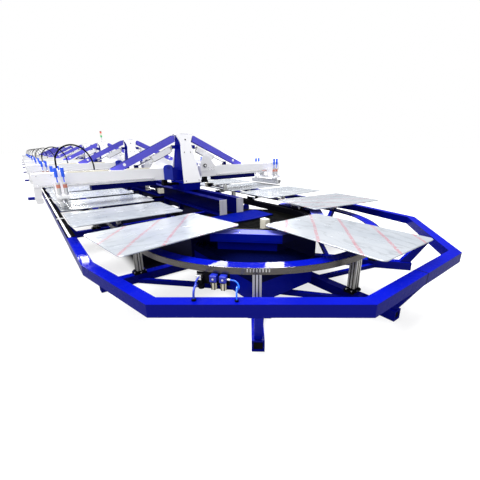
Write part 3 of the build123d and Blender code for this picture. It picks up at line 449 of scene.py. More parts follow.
bandSteel = metalFinish("bandSteel", (0.13, 0.12, 0.115), 0.26, (1.0, 1.0, 6.0), 12.0, 0.03)
capBlue = plasticFinish("capBlue", (0.003, 0.014, 0.36), 0.35)
navyTube = plasticFinish("navyTube", (0.01, 0.03, 0.40), 0.3, 0.05)
cream = plasticFinish("creamPlastic", (0.72, 0.69, 0.58), 0.42)
bowl = plasticFinish("bowlPlastic", (0.62, 0.58, 0.44), 0.16, 0.03)
tagRed = plasticFinish("tagRed", (0.58, 0.20, 0.14), 0.4)
lampColours = lampFinish()
print("materials ready")


# Finish of the carried-over nodes

# Gives every CAD node its material and softens the sharp edges
def finishNodes():
    finishes = (  # what each name starts with
        (bluePaint, "frame_ floor_beams track_flange"), (navyPaint, "spine_beams head_drives"),
        (hubPaint, "hub_housings"), (towerPaint, "towers"), (armPaint, "head_arms"),
        (cabinetPaint, "drive_cabinet"), (pinPaint, "pivot_pins"),
        (bracketPaint, "end_brackets"), (whitePaint, "tower_covers head_beams carriages"),
        (blackMetal, "post_brackets guide_rail rest_stops"), (bandSteel, "track_band"),
        (silver, "track_posts arms_"), (plateSilver, "spine_end_plates"),
        (castSilver, "squeegees flood_bars blade_cylinders lift_barrels"),
        (chrome, "head_rails lift_rods"), (pallet, "pallets"), (rubber, "belt hose_loops"),
        (navyTube, "air_tube"), (hoseBlue, "air_hose"), (cream, "control_block"),
        (bluePlastic, "blade_knobs air_regulators"), (lampColours, "signal_lamp"))
    softened = (
        (0.006, "frame_ head_beams"), (0.005, "floor_beams"), (0.002, "carriages"),
        (0.004, "tower_covers towers head_arms hub_housings end_brackets drive_cabinet"),
        (0.004, "head_drives control_block"), (0.003, "spine_beams rest_stops"))
    for name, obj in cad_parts.items():
        finish = next(f for f, starts in finishes if name.startswith(tuple(starts.split())))
        if not obj.data.materials:
            obj.data.materials.append(finish)
        for slot in obj.material_slots:
            slot.material = finish
        width = next((w for w, starts in softened if name.startswith(tuple(starts.split()))), 0)
        if width:
            bevel = obj.modifiers.new("soft edges", "BEVEL")
            bevel.width = width
            bevel.segments = 2
            bevel.limit_method = "ANGLE"
            bevel.angle_limit = radians(40)


finishNodes()
print("nodes finished")


# Pallets

palletTurns = {
    "near_turn": [atTurn(a) for a in (-82.0, 0.0, 82.0)],
    "far_turn": [atTurn(a, True) for a in (-82.0, 0.0, 82.0)],
    "left_run": [place(0, y, 0, 180) for y in runPalletY],
    "right_run": [place(0, y, 0, 0) for y in runPalletY],
}


# Plates with rounded corners, a rolled rim and their own coordinates for the film
def palletPieces():
    sizes = {"inner": 0.794, "turnInset": 0.085, "length": 1.350, "width": 0.890, "corner": 0.050,
             "bottom": frameTop + 0.160, "thick": 0.012, "rim": 0.003, "cornerSteps": 6,
             "lines": ((-45.0, 0.21), (44.0, 0.075), (60.0, 0.1)),  # lean and start on the turns
             "plain": (90.0, 1.0)}  # a start this large draws no line
    half = (sizes["length"] / 2, sizes["width"] / 2)
    stepAngle = 90 / sizes["cornerSteps"]
    ring = []
    for cx, cy, start in ((1, -1, -90), (1, 1, 0), (-1, 1, 90), (-1, -1, 180)):
        for step in range(sizes["cornerSteps"] + 1):
            a = radians(start + stepAngle * step)
            ring.append((cx * (half[0] - sizes["corner"]) + sizes["corner"] * cos(a),
                         cy * (half[1] - sizes["corner"]) + sizes["corner"] * sin(a)))
    rows = []
    for z, grow in ((0.0, -sizes["rim"]), (sizes["rim"], 0.0),
                    (sizes["thick"] - sizes["rim"], 0.0), (sizes["thick"], -sizes["rim"])):
        shrink = [1 + grow / half[0], 1 + grow / half[1]]
        rows.append([(x * shrink[0], y * shrink[1], z) for x, y in ring])

    def plate(bm, layer, tracer, turn, inset, line):
        middle = sizes["inner"] - inset + half[0]
        loops = [[bm.verts.new(turn @ Vector((middle + x, y, sizes["bottom"] + z)))
                  for x, y, z in row] for row in rows]
        bm.faces.new(list(reversed(loops[0])))
        bm.faces.new(loops[-1])
        for low, high in zip(loops, loops[1:]):
            for i in range(len(ring)):
                j = (i + 1) % len(ring)
                bm.faces.new((low[i], low[j], high[j], high[i]))
        for loop, row in zip(loops, rows):
            for vert, spot in zip(loop, row):
                vert[layer] = Vector(spot)
                vert[tracer] = Vector(line)

    for body, turns in palletTurns.items():
        bm = bmesh.new()
        layer = bm.verts.layers.float_vector.new("palletPlace")
        tracer = bm.verts.layers.float_vector.new("tracerLine")
        onTurn = body.endswith("turn")
        inset = sizes["turnInset"] if onTurn else 0.0
        for index, turn in enumerate(turns):
            swing, start = sizes["lines"][index] if onTurn else sizes["plain"]
            line = (cos(radians(swing)), sin(radians(swing)), start)
            plate(bm, layer, tracer, turn, inset, line)
        name = "pallets_" + body
        obj = newObject("film_" + name, bm, pallet, body)
        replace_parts(obj, name)


# Black guide blocks with their rollers at the inner ends of the pallet arms
def guideBlocks():
    sizes = {"inner": 0.702, "outer": 0.7612, "half": 0.062, "low": 0.626, "high": 0.668,
             "roller": 0.017, "rollerIn": 0.030, "gap": 0.002, "short": 0.004,
             "cap": 0.005, "capHalf": 0.100, "capIn": 0.004}
    inner, low, high = sizes["inner"], sizes["low"], sizes["high"]
    for body, turns in palletTurns.items():
        block = bmesh.new()
        addBox(block, (inner, -sizes["half"], low), (sizes["outer"], sizes["half"], high), 0.004)
        bright = bmesh.new()
        axle = inner + sizes["rollerIn"]
        for side in (-1, 1):
            y = side * (sizes["half"] + sizes["roller"] + sizes["gap"])
            addRod(bright, (axle, y, low + sizes["short"]), (axle, y, high - sizes["short"]),
                   sizes["roller"])
        addBox(bright, (inner + sizes["capIn"], -sizes["capHalf"], high),
               (sizes["outer"], sizes["capHalf"], high + sizes["cap"]), 0.001)
        repeatPiece("guide_blocks_" + body, block, turns, blackMetal, body)
        repeatPiece("guide_rollers_" + body, bright, turns, castSilver, body)


palletPieces()
guideBlocks()
print("pallets ready")


# Print heads

# Pieces on every head of both sides, each riding on a body of its own side
def onHeads(pieces):
    for side, turn in sides.items():
        places = [place(0, y, 0, turn) for y in stationY]
        for name, (bm, material, body) in pieces.items():
            repeatPiece(f"{name}_{side}", bm.copy(), places, material, f"{body}_{side}")
    for piece in pieces.values():
        piece[0].free()


# Round caps over the bolts that clamp each sloping arm
def armCaps():
    sizes = {"x": 1.098, "z": frameTop + 0.738, "half": 0.040, "radius": 0.024, "rise": 0.007,
             "sunk": 0.002}
    x, z = sizes["x"], sizes["z"]
    bm = bmesh.new()
    for face in (-1, 1):
        y = face * sizes["half"]
        addRod(bm, (x, y - face * sizes["sunk"], z), (x, y + face * sizes["rise"], z),
               sizes["radius"], 24)
    onHeads({"arm_caps": (bm, whitePaint, "heads")})


# Square profile bodies of the lift cylinders, with an air line along the lower edge
def barrelSleeves():
    sizes = {"pinX": 0.200, "pinZ": frameTop + 1.010, "lean": 24.57, "start": 0.064, "end": 0.470,
             "half": 0.034, "under": -0.060, "over": 0.034, "plate": 0.013, "gap": 0.001,
             "proud": 0.002, "line": 0.006, "lineDrop": 0.009, "lineIn": 0.02}
    start, end, half = sizes["start"], sizes["end"], sizes["half"]
    under, over, proud = sizes["under"], sizes["over"], sizes["proud"]
    bodyIn = sizes["plate"] + sizes["gap"]
    lineZ = under - sizes["lineDrop"]
    lean = (Matrix.Translation((sizes["pinX"], 0, sizes["pinZ"]))
            @ Matrix.Rotation(radians(sizes["lean"]), 4, "Y"))
    sleeve, ends, line = bmesh.new(), bmesh.new(), bmesh.new()
    addBox(sleeve, (start + bodyIn, -half, under), (end - bodyIn, half, over), 0.004, lean)
    for low, high in ((start, start + sizes["plate"]), (end - sizes["plate"], end)):
        addBox(ends, (low, -half - proud, under - proud), (high, half + proud, over + proud),
               0.003, lean)
    addRod(line, (start + sizes["lineIn"], 0, lineZ), (end - sizes["lineIn"], 0, lineZ),
           sizes["line"], 12, bevel=0.001, turn=lean)
    onHeads({"barrel_bodies": (sleeve, whitePaint, "lift_barrels"),
             "barrel_ends": (ends, silver, "lift_barrels"),
             "barrel_lines": (line, rubber, "lift_barrels")})


# Locating units beside each tower: a small cylinder, a pale valve box and an angle plate
def lockUnits():
    sizes = {"x": 0.560, "z": frameTop + 0.262, "shelfFrom": 0.458, "reach": 0.46, "rod": 0.016,
             "plate": 0.045, "plateY": (-0.534, -0.526), "lipY": (-0.525, -0.480),
             "valveX": (-0.055, 0.030), "valveY": (0.054, 0.150), "valveZ": (-0.040, 0.044),
             "portX": -0.012, "portZ": 0.045, "ports": ((0.080, 0.066), (0.124, 0.060)),
             "portRadius": 0.011, "screw": (0.012, -0.200), "screwZ": (0.017, 0.034)}
    places = [place(0, y, 0, turn) for turn in sides.values() for y in stationY]
    metal, pale, dark = bmesh.new(), bmesh.new(), bmesh.new()
    x, z, wide = sizes["x"], sizes["z"], sizes["plate"]
    addBox(dark, (sizes["shelfFrom"], -0.060, z + 0.030), (x + 0.035, 0.060, z + 0.042), 0.002)
    addBox(dark, (x - 0.028, -0.050, z - 0.022), (x + 0.028, 0.050, z + 0.029), 0.004)
    addRod(metal, (x, -0.052, z), (x, -0.052 - sizes["reach"], z), sizes["rod"])
    (backFrom, backTo), (lipFrom, lipTo) = sizes["plateY"], sizes["lipY"]
    addBox(metal, (x - wide, backFrom, z - 0.050), (x + wide, backTo, z + 0.060), 0.002)
    addBox(metal, (x - wide, lipFrom, z - 0.050), (x + wide, lipTo, z - 0.042), 0.002)
    screwX, screwY = x + sizes["screw"][0], sizes["screw"][1]
    screwLow, screwHigh = sizes["screwZ"]
    addRod(metal, (screwX, screwY, z + screwLow), (screwX, screwY, z + screwHigh), 0.007, 12,
           bevel=0.001)
    low, high = zip(sizes["valveX"], sizes["valveY"], sizes["valveZ"])
    addBox(pale, (x + low[0], low[1], z + low[2]), (x + high[0], high[1], z + high[2]), 0.005)
    for y, top in sizes["ports"]:
        portX = x + sizes["portX"]
        addRod(dark, (portX, y, z + sizes["portZ"]), (portX, y, z + top), sizes["portRadius"], 14)
    repeatPiece("lock_metal", metal, places, silver)
    repeatPiece("lock_boxes", pale, places, cream)
    repeatPiece("lock_mounts", dark, places, blackMetal)


# Dark strips with a pale line along the long rails, a painted reflection of the surroundings with a
# painted glint line, with pale bars across them at the joints; one rail the half turn of the other
def railStrips():
    sizes = {"outer": -2.197, "inner": -2.103, "lineFrom": -2.178, "lineTo": -2.153,
             "start": -12.75, "end": 10.45, "rise": 0.010, "sunk": 0.001, "lineDrop": 0.002,
             "joint": -11.60, "jointStep": 2.32, "joints": 10, "jointHalf": 0.03, "proud": 0.001,
             "jointRise": 0.002}
    dark, pale = bmesh.new(), bmesh.new()
    start, end = sizes["start"], sizes["end"]
    lineFrom, lineTo = sizes["lineFrom"], sizes["lineTo"]
    low, high = frameTop - sizes["sunk"], frameTop + sizes["rise"]
    addBox(dark, (sizes["outer"], start, low), (lineFrom, end, high), 0.002)
    addBox(dark, (lineTo, start, low), (sizes["inner"], end, high), 0.002)
    addBox(pale, (lineFrom, start, low), (lineTo, end, high - sizes["lineDrop"]), 0.001)
    for index in range(sizes["joints"]):
        y = sizes["joint"] + index * sizes["jointStep"]
        addBox(pale, (sizes["outer"] - sizes["proud"], y - sizes["jointHalf"], low),
               (sizes["inner"] + sizes["proud"], y + sizes["jointHalf"],
                high + sizes["jointRise"]), 0.001)
    places = [Matrix.Identity(4), Matrix.Rotation(pi, 4, "Z")]
    # The dark strips are a painted reflection and the pale line is a painted glint.
    repeatPiece("rail_strips", dark, places, rubber)
    repeatPiece("rail_lines", pale, places, whitePaint)


# Red bands and end caps on the blade cylinders, with their air fittings
def bladeTags():
    sizes = {"radius": 0.0253, "x": (2.020, 2.103), "y": (0.310, -0.310), "tag": (0.470, 0.520),
             "tagProud": 0.0008, "caps": ((0.372, 0.392), (0.522, 0.549)), "capProud": 0.004,
             "ports": (0.385, 0.535), "portFrom": 0.026, "portTo": 0.050, "portRadius": 0.008}
    tags, caps, fittings = bmesh.new(), bmesh.new(), bmesh.new()
    for y, x in product(sizes["y"], sizes["x"]):
        low, high = sizes["tag"]
        addRod(tags, (x, y, frameTop + low), (x, y, frameTop + high),
               sizes["radius"] + sizes["tagProud"], 24, bevel=0.0006)
        for low, high in sizes["caps"]:
            addRod(caps, (x, y, frameTop + low), (x, y, frameTop + high),
                   sizes["radius"] + sizes["capProud"], 24)
        out = 1 if y > 0 else -1
        for port in sizes["ports"]:
            addRod(fittings, (x, y + out * sizes["portFrom"], frameTop + port),
                   (x, y + out * sizes["portTo"], frameTop + port), sizes["portRadius"], 12,
                   bevel=0.0015)
    onHeads({"cylinder_tags": (tags, tagRed, "carriages"),
             "cylinder_caps": (caps, castSilver, "carriages"),
             "cylinder_fittings": (fittings, chrome, "carriages")})


# Cable trough, end screws and mounting nuts on each head beam
def beamDetails():
    sizes = {"top": frameTop + 0.655, "troughs": ((0.70, 1.08), (1.36, 1.96)),
             "troughY": (0.055, 0.090), "troughHeight": 0.022,
             "sideX": (2.150, 2.330), "sideZ": (0.505, 0.635), "sideY": (0.0995, 0.1045),
             "endX": (2.3835, 2.3875), "endY": (-0.07, 0.07), "endZ": (0.500, 0.640),
             "nutX": (0.46, 0.52, 0.58), "nutY": (-0.1115, -0.118), "nutZ": (0.585, 0.625)}
    bm = bmesh.new()
    for x, z, face in product(sizes["sideX"], sizes["sideZ"], (-1, 1)):
        low, high = sizes["sideY"]
        addRod(bm, (x, face * low, frameTop + z), (x, face * high, frameTop + z), 0.008, 6,
               bevel=0.001)
    for y, z in product(sizes["endY"], sizes["endZ"]):
        low, high = sizes["endX"]
        addRod(bm, (low, y, frameTop + z), (high, y, frameTop + z), 0.007, 12, bevel=0.001)
    for x, z in product(sizes["nutX"], sizes["nutZ"]):
        low, high = sizes["nutY"]
        addRod(bm, (x, low, frameTop + z), (x, high, frameTop + z), 0.009, 6, bevel=0.001)
    trough = bmesh.new()
    for start, end in sizes["troughs"]:
        addBox(trough, (start, sizes["troughY"][0], sizes["top"]),
               (end, sizes["troughY"][1], sizes["top"] + sizes["troughHeight"]), 0.004)
    onHeads({"beam_screws": (bm, chrome, "heads"), "beam_troughs": (trough, cream, "heads")})


# Wing screws along the blade holders
def bladeEdges():
    sizes = {"holders": {"squeegees": 2.020, "flood_bars": 2.103}, "z": frameTop + 0.260,
             "from": 0.016, "to": 0.026, "radius": 0.008, "start": -0.36, "step": 0.18, "count": 5}
    z = sizes["z"]
    rows = {}
    for kind, x in sizes["holders"].items():
        bm = bmesh.new()
        for i in range(sizes["count"]):
            y = sizes["start"] + sizes["step"] * i
            addRod(bm, (x - sizes["from"], y, z), (x - sizes["to"], y, z), sizes["radius"], 12,
                   bevel=0.001)
        rows["screws_" + kind] = (bm, chrome, kind)
    onHeads(rows)


armCaps()
barrelSleeves()
lockUnits()
railStrips()
bladeTags()
beamDetails()
bladeEdges()
print("heads ready")


# Towers

# Cover screws and pin caps on the towers
def towerDetails():
    sizes = {"foot": (0.290, frameTop + 0.380), "head": (0.050, frameTop + 1.235),
             "spots": ((0.0, 0.875), (-0.13, 0.04), (0.13, 0.04), (-0.06, 0.62), (0.06, 0.62)),
             "screw": (0.0235, 0.031), "topRadius": 0.013, "radius": 0.008,
             "pinX": 0.374, "pinZ": frameTop + 0.665, "ring": (-0.121, -0.140),
             "cap": (-0.139, -0.146), "ringRadius": 0.034, "capRadius": 0.018}
    footY, footZ = sizes["foot"]
    headY, headZ = sizes["head"]
    out = Vector((0, footZ - headZ, footY - headY)).normalized()

    def onCover(x, share, lift):
        y = -(footY + (headY - footY) * share)
        z = footZ + (headZ - footZ) * share
        return Vector((x, y, z)) + out * lift

    screws = bmesh.new()
    low, high = sizes["screw"]
    for x, share in sizes["spots"]:
        addRod(screws, onCover(x, share, low), onCover(x, share, high),
               sizes["topRadius"] if x == 0 else sizes["radius"], 16, bevel=0.0015)
    places = [place(0, y, 0, turn) for y in stationY for turn in (0, 180)]
    repeatPiece("cover_screws", screws, places, blackMetal)

    x, z = sizes["pinX"], sizes["pinZ"]
    rings = bmesh.new()
    near, far = sizes["ring"]
    addRod(rings, (x, near, z), (x, far, z), sizes["ringRadius"], 28, bevel=0.004)
    repeatPiece("pin_rings", rings, places, blackMetal)
    caps = bmesh.new()
    near, far = sizes["cap"]
    addRod(caps, (x, near, z), (x, far, z), sizes["capRadius"], 24, bevel=0.003)
    repeatPiece("pin_caps", caps, places, whitePaint)


towerDetails()
print("towers ready")


# Frame, posts and track

# Bolts of the track posts, and thin dark strips on their faces as painted shade in the slots
def postDetails():
    sizes = {"radius": 1.617 - 0.040 - 0.001, "endBeam": 0.220, "crossBeams": 9,
             "plateX": (-0.062, 0.062), "plateY": (-0.030, 0.030),
             "plateZ": (0.120, 0.136), "boltY": 0.0495, "boltOut": 1.14, "boltZ": 0.122,
             "slotAcross": (-0.0135, 0.0135), "slotHalf": 0.0042, "face": 0.0404,
             "slotDeep": 0.0005, "slotZ": (0.145, 0.455)}
    bolts = bmesh.new()
    low, high = sizes["plateZ"]
    for x, y in product(sizes["plateX"], sizes["plateY"]):
        addRod(bolts, (x, y, low), (x, y, high), 0.009, 6, bevel=0.0012)
    for y in (-sizes["boltY"], sizes["boltY"]):
        addRod(bolts, (0.0, y, sizes["boltZ"]), (0.0, y * sizes["boltOut"], sizes["boltZ"]),
               0.008, 6, bevel=0.001)
    radius = sizes["radius"]
    places = [turn @ place(radius, 0, 0, 90) for turn in atBothTurns(beamAngles)]
    sideBeam = turnY + sizes["endBeam"]
    crossY = [turnY + (i + 1) * runLength / 10 for i in range(sizes["crossBeams"])]
    places += [place(s * radius, y) for y in crossY + [sideBeam, -sideBeam] for s in (-1, 1)]
    repeatPiece("bracket_bolts", bolts, places, chrome)

    # Painted shade in the slots: thin dark strips on each post face.
    slotShade = bmesh.new()
    half, deep = sizes["slotHalf"], sizes["slotDeep"]
    low, high = sizes["slotZ"]
    for across, side in product(sizes["slotAcross"], (-1, 1)):
        face = side * sizes["face"]
        addBox(slotShade, (face - deep, across - half, low), (face + deep, across + half, high))
        addBox(slotShade, (across - half, face - deep, low), (across + half, face + deep, high))
    repeatPiece("post_slots", slotShade, places, rubber)


# Marks on the band, open ends of the floor beams with a dark plate inside as painted shade, seams
# in the frame and bolts of the ring
def frameDetails():
    sizes = {"marks": 8, "markStep": 0.027, "markStart": -0.105, "markEnd": -0.093,
             "markX": (1.6285, 1.6310), "markZ": (-0.034, -0.006), "markAngles": (-38.0, 38.0),
             "reach": 2.020, "half": 0.050, "high": 0.1, "wall": 0.014, "depth": 0.014,
             "padX": (-0.010, 0.125), "padHalf": 0.085, "padZ": (-0.112, -0.1005),
             "hollow": (0.0002, 0.0012), "gap": 0.0005,
             "seamX": 0.010, "seamHalf": 0.005, "tubeY": (-2.2006, -2.0994),
             "tubeZ": (-0.1006, 0.0006), "ringX": 0.900, "ringY": (-0.17, 0.17),
             "ringZ": (0.1, 0.105)}
    # A row of small silver marks on the band.
    markBoxes = bmesh.new()
    inner, outer = sizes["markX"]
    low, high = sizes["markZ"]
    for i in range(sizes["marks"]):
        along = i * sizes["markStep"]
        addBox(markBoxes, (inner, sizes["markStart"] + along, frameTop + low),
               (outer, sizes["markEnd"] + along, frameTop + high), 0.0008)
    repeatPiece("band_marks", markBoxes, atBothTurns(sizes["markAngles"]), silver)

    mouth = bmesh.new()
    reach, half, wall, height = sizes["reach"], sizes["half"], sizes["wall"], sizes["high"]
    end = reach + sizes["depth"]
    addBox(mouth, (reach, -half, 0.0), (end, half, wall), 0.001)
    addBox(mouth, (reach, -half, height - wall), (end, half, height), 0.001)
    addBox(mouth, (reach, -half, wall), (end, wall - half, height - wall), 0.001)
    addBox(mouth, (reach, half - wall, wall), (end, half, height - wall), 0.001)
    padFrom, padTo = sizes["padX"]
    low, high = sizes["padZ"]
    addBox(mouth, (reach + padFrom, -sizes["padHalf"], frameTop + low),
           (reach + padTo, sizes["padHalf"], frameTop + high), 0.002)
    # Painted shade in the hollow: a dark plate just inside each open beam end.
    dark = bmesh.new()
    gap = sizes["gap"]
    back, front = sizes["hollow"]
    addBox(dark, (reach + back, wall - half + gap, wall + gap),
           (reach + front, half - wall - gap, height - wall - gap), 0.0002)
    turns = atBothTurns(beamAngles)
    repeatPiece("beam_mouths", mouth, turns, bluePaint)
    repeatPiece("beam_hollows", dark, turns, rubber)

    seam = bmesh.new()
    outer, inner = sizes["tubeY"]
    low, high = sizes["tubeZ"]
    addBox(seam, (-sizes["seamHalf"], outer, frameTop + low),
           (sizes["seamHalf"], inner, frameTop + high), 0.0002)
    nearSeam = place(sizes["seamX"], turnY)
    repeatPiece("frame_seams", seam, [nearSeam, Matrix.Rotation(pi, 4, "Z") @ nearSeam], rubber)

    bolts = bmesh.new()
    low, high = sizes["ringZ"]
    for y in sizes["ringY"]:
        addRod(bolts, (sizes["ringX"], y, frameTop + low), (sizes["ringX"], y, frameTop + high),
               0.007, 6, bevel=0.001)
    repeatPiece("ring_bolts", bolts, turns, chrome)


# The air set: blue heads with dials, pale bowls in guards, valve knob and fittings
def regulatorParts():
    sizes = {"angle": -50.0, "outer": 1.617 + 0.012, "offsets": (-0.047, 0.040),
             "bowlX": 0.031, "headX": 0.062, "headHalf": 0.031, "lidX": (0.008, 0.054),
             "lidHalf": 0.022, "dialX": (0.060, 0.066), "dialZ": 0.095, "bowl": 0.026,
             "bowlTop": 0.0285, "bars": 6, "knobX": 0.030, "knobY": -0.165,
             "glands": ((2.158, 0.284, 0.012, 0.014), (2.208, -0.003, 0.014, 0.016))}
    turn = atTurn(sizes["angle"])
    outer, z = sizes["outer"], frameTop
    blue, pale, dark, bright = bmesh.new(), bmesh.new(), bmesh.new(), bmesh.new()
    addBox(dark, (outer - 0.008, -0.215, z - 0.175), (outer, 0.090, z - 0.060), 0.002)
    middle = outer + sizes["bowlX"]
    for y in sizes["offsets"]:
        addBox(blue, (outer, y - sizes["headHalf"], z - 0.124),
               (outer + sizes["headX"], y + sizes["headHalf"], z - 0.066), 0.004)
        addBox(blue, (outer + sizes["lidX"][0], y - sizes["lidHalf"], z - 0.066),
               (outer + sizes["lidX"][1], y + sizes["lidHalf"], z - 0.0622), 0.0015)
        addRod(bright, (outer + sizes["dialX"][0], y, z - sizes["dialZ"]),
               (outer + sizes["dialX"][1], y, z - sizes["dialZ"]), 0.010, 24)
        addRod(pale, (middle, y, z - 0.198), (middle, y, z - 0.126), sizes["bowl"], 24,
               sizes["bowlTop"], bevel=0.004)
        addRod(dark, (middle, y, z - 0.132), (middle, y, z - 0.124), 0.030, 24, bevel=0.001)
        addRod(dark, (middle, y, z - 0.204), (middle, y, z - 0.196), 0.016, 16)
        for bar in range(sizes["bars"]):  # guard bars round the bowl
            swing = 30 + 60 * bar
            addBox(dark, (-0.0015, -0.004, z - 0.198), (0.0015, 0.004, z - 0.130), 0.0005,
                   place(middle + sizes["bowlTop"] * cos(radians(swing)),
                         y + sizes["bowlTop"] * sin(radians(swing)), 0, swing))
    addRod(bright, (middle, 0.071, z - 0.100), (middle, 0.0998, z - 0.100), 0.009, 16, bevel=0.0015)
    addBox(bright, (outer, -0.210, z - 0.122), (outer + 0.046, -0.160, z - 0.082), 0.004)
    knobX, knobY = outer + sizes["knobX"], sizes["knobY"]
    addRod(dark, (knobX, knobY, z - 0.165), (knobX, knobY, z - 0.122), 0.014, 20, bevel=0.003)
    addRod(dark, (knobX, knobY, z - 0.203), (knobX, knobY, z - 0.165), 0.029, 20, bevel=0.006)
    for x, y, top, radius in sizes["glands"]:  # where the lines enter the frame tube
        addRod(dark, (x, y, z), (x, y, z + top), radius, 24, bevel=0.003)
    for name, bm, material in (("regulator_heads", blue, capBlue), ("regulator_bowls", pale, bowl),
                               ("regulator_plate", dark, blackMetal),
                               ("regulator_dials", bright, castSilver)):
        bm.transform(turn)
        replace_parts(newObject(name, bm, material, "machine"), "air_regulators")


# A small cream box at the corner of its black foot plate
def controlBlock():
    sizes = {"footX": (-0.330, -0.120), "footY": (turnY - 0.590, turnY - 0.390), "foot": 0.022,
             "boxX": (-0.225, -0.152), "boxY": (turnY - 0.490, turnY - 0.390), "height": 0.150}
    foot, box = bmesh.new(), bmesh.new()
    plateTop = frameTop + sizes["foot"]
    (x0, x1), (y0, y1) = sizes["footX"], sizes["footY"]
    addBox(foot, (x0, y0, frameTop), (x1, y1, plateTop), 0.003)
    (x0, x1), (y0, y1) = sizes["boxX"], sizes["boxY"]
    addBox(box, (x0, y0, plateTop), (x1, y1, frameTop + sizes["height"]), 0.005)
    for name, bm, material in (("control_foot", foot, blackMetal), ("control_box", box, cream)):
        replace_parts(newObject(name, bm, material, "machine"), "control_block")


postDetails()
frameDetails()
regulatorParts()
controlBlock()
print("frame details ready")


# Hoses

# One smooth open curve through a hose's route, and the points along it
def smoothLine(name, points):
    curve = bpy.data.curves.new(name, "CURVE")
    curve.dimensions = "3D"
    spline = curve.splines.new("NURBS")
    spline.points.add(len(points) - 1)
    for point, where in zip(spline.points, points):
        point.co = (*where, 1.0)
    spline.order_u = 3
    spline.use_endpoint_u = True
    spline.resolution_u = 8
    obj = linked(name, curve)
    mesh = shownMesh(obj)
    line = [v.co.copy() for v in mesh.vertices]
    bpy.data.meshes.remove(mesh)
    return obj, line


# Gives a hose's curve its round section
def roundOut(obj, diameter, material):
    obj.data.bevel_depth = diameter / 2
    obj.data.bevel_resolution = 4
    obj.data.use_fill_caps = True
    obj.data.materials.append(material)


# Turns a hose's curve into a closed mesh tube
def tubeMesh(obj):
    mesh = shownMesh(obj)
    name = obj.name
    curve = obj.data
    bpy.data.objects.remove(obj)
    bpy.data.curves.remove(curve)
    bm = bmesh.new()
    bm.from_mesh(mesh)
    bmesh.ops.remove_doubles(bm, verts=bm.verts, dist=0.00001)
    bmesh.ops.recalc_face_normals(bm, faces=bm.faces)
    bm.to_mesh(mesh)
    bm.free()
    return linked(name, mesh)


# Black hose loops from each left carriage to its beam
def headHoses():
    sizes = {"diameter": 0.022, "clampX": 1.985 + 0.153 / 2}
    route = [(sizes["clampX"], 0.080, 0.730), (sizes["clampX"], 0.080, 0.796),
             (2.056, 0.066, 0.876), (2.016, 0.048, 0.950), (1.955, 0.026, 1.011),
             (1.884, 0.006, 1.046), (1.803, -0.014, 1.056), (1.727, -0.032, 1.038),
             (1.656, -0.048, 0.992), (1.602, -0.058, 0.926), (1.562, -0.065, 0.848),
             (1.542, -0.068, 0.766), (1.542, -0.068, 0.685)]
    for index, y in enumerate(stationY):
        points = [(-x, y - across, frameTop + z) for x, across, z in route]
        curve, line = smoothLine(f"head_hose_{index + 1}", points)
        roundOut(curve, sizes["diameter"], rubber)
        hose = tubeMesh(curve)
        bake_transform(hose)
        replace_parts(hose, "hose_loops_left")


# The blue hose and dark tube of the air set
def airLines():
    hoseRoute = [(1.660, 0.100, -0.100), (1.660, 0.136, -0.100), (1.682, 0.170, -0.107),
                 (1.722, 0.192, -0.113), (1.772, 0.206, -0.108), (1.828, 0.217, -0.090),
                 (1.886, 0.228, -0.060), (1.944, 0.240, -0.020), (2.000, 0.252, 0.022),
                 (2.054, 0.263, 0.056), (2.104, 0.272, 0.070), (2.138, 0.279, 0.060),
                 (2.158, 0.284, 0.036), (2.158, 0.284, 0.012)]
    tubeRoute = [(1.676, -0.185, -0.102), (1.716, -0.185, -0.102), (1.764, -0.175, -0.107),
                 (1.820, -0.154, -0.100), (1.882, -0.126, -0.076), (1.946, -0.094, -0.038),
                 (2.008, -0.062, 0.006), (2.068, -0.036, 0.046), (2.128, -0.018, 0.074),
                 (2.178, -0.008, 0.076), (2.208, -0.003, 0.052), (2.208, -0.003, 0.014)]
    lines = {"air_hose": (hoseRoute, 0.012, hoseBlue), "air_tube": (tubeRoute, 0.016, navyTube)}
    turn = atTurn(-50.0)
    for name, (route, diameter, material) in lines.items():
        points = [turn @ Vector((x, y, frameTop + z)) for x, y, z in route]
        piece, line = smoothLine(name + "_line", points)
        roundOut(piece, diameter, material)
        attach(piece, "machine")
        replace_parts(piece, name)


headHoses()
airLines()
print("hoses ready")


# Floor, light and camera

# Pale floor with a painted shadow below the machine
def makeFloor():
    sizes = {"reach": 140.0, "drop": 0.0005, "seen": 0.30, "bounced": 0.30, "glow": 0.72,
             "shade": (0.004, 0.004, 0.010), "shadeX": (1.40, 1.60), "shadeY": (13.05, 13.25)}
    material, shader, local = newMaterial("paleFloor")
    tone = [(0.3, grey(sizes["seen"] * 0.99)), (0.7, grey(sizes["seen"]))]
    pale = rampOf(noiseOf(local, 0.4, 2.0), tone)
    parts = partsOf(local)
    # Painted shadow under the machine: within 1.4 m of the centre line and 13.05 m of the middle
    # the floor is nearly black and does not glow, fading out by 1.6 m and 13.25 m.
    fades = []
    for name, (near, far) in (("X", sizes["shadeX"]), ("Y", sizes["shadeY"])):
        fade = newNode("ShaderNodeMapRange", local)
        fade.interpolation_type = "SMOOTHSTEP"
        setInputs(fade, {"From Min": near, "From Max": far,
                         "Value": mathOf("ABSOLUTE", parts[name])})
        fades.append(fade.outputs["Result"])
    lit = mathOf("MAXIMUM", *fades)
    seen = newNode("ShaderNodeLightPath", local).outputs["Is Camera Ray"]
    clear = mixOf(seen, grey(sizes["bounced"]), pale)
    glow = mathOf("MULTIPLY", seen, sizes["glow"])
    setInputs(shader, {
        "Base Color": mixOf(lit, sizes["shade"], clear), "Roughness": 1.0,
        "Specular IOR Level": 0.0, "Emission Color": grey(1.0),
        "Emission Strength": mathOf("MULTIPLY", glow, lit)})
    bm = bmesh.new()
    bmesh.ops.create_grid(bm, x_segments=4, y_segments=4, size=sizes["reach"])
    floor = newObject("floor", bm, material)
    floor.location.z = -sizes["drop"]


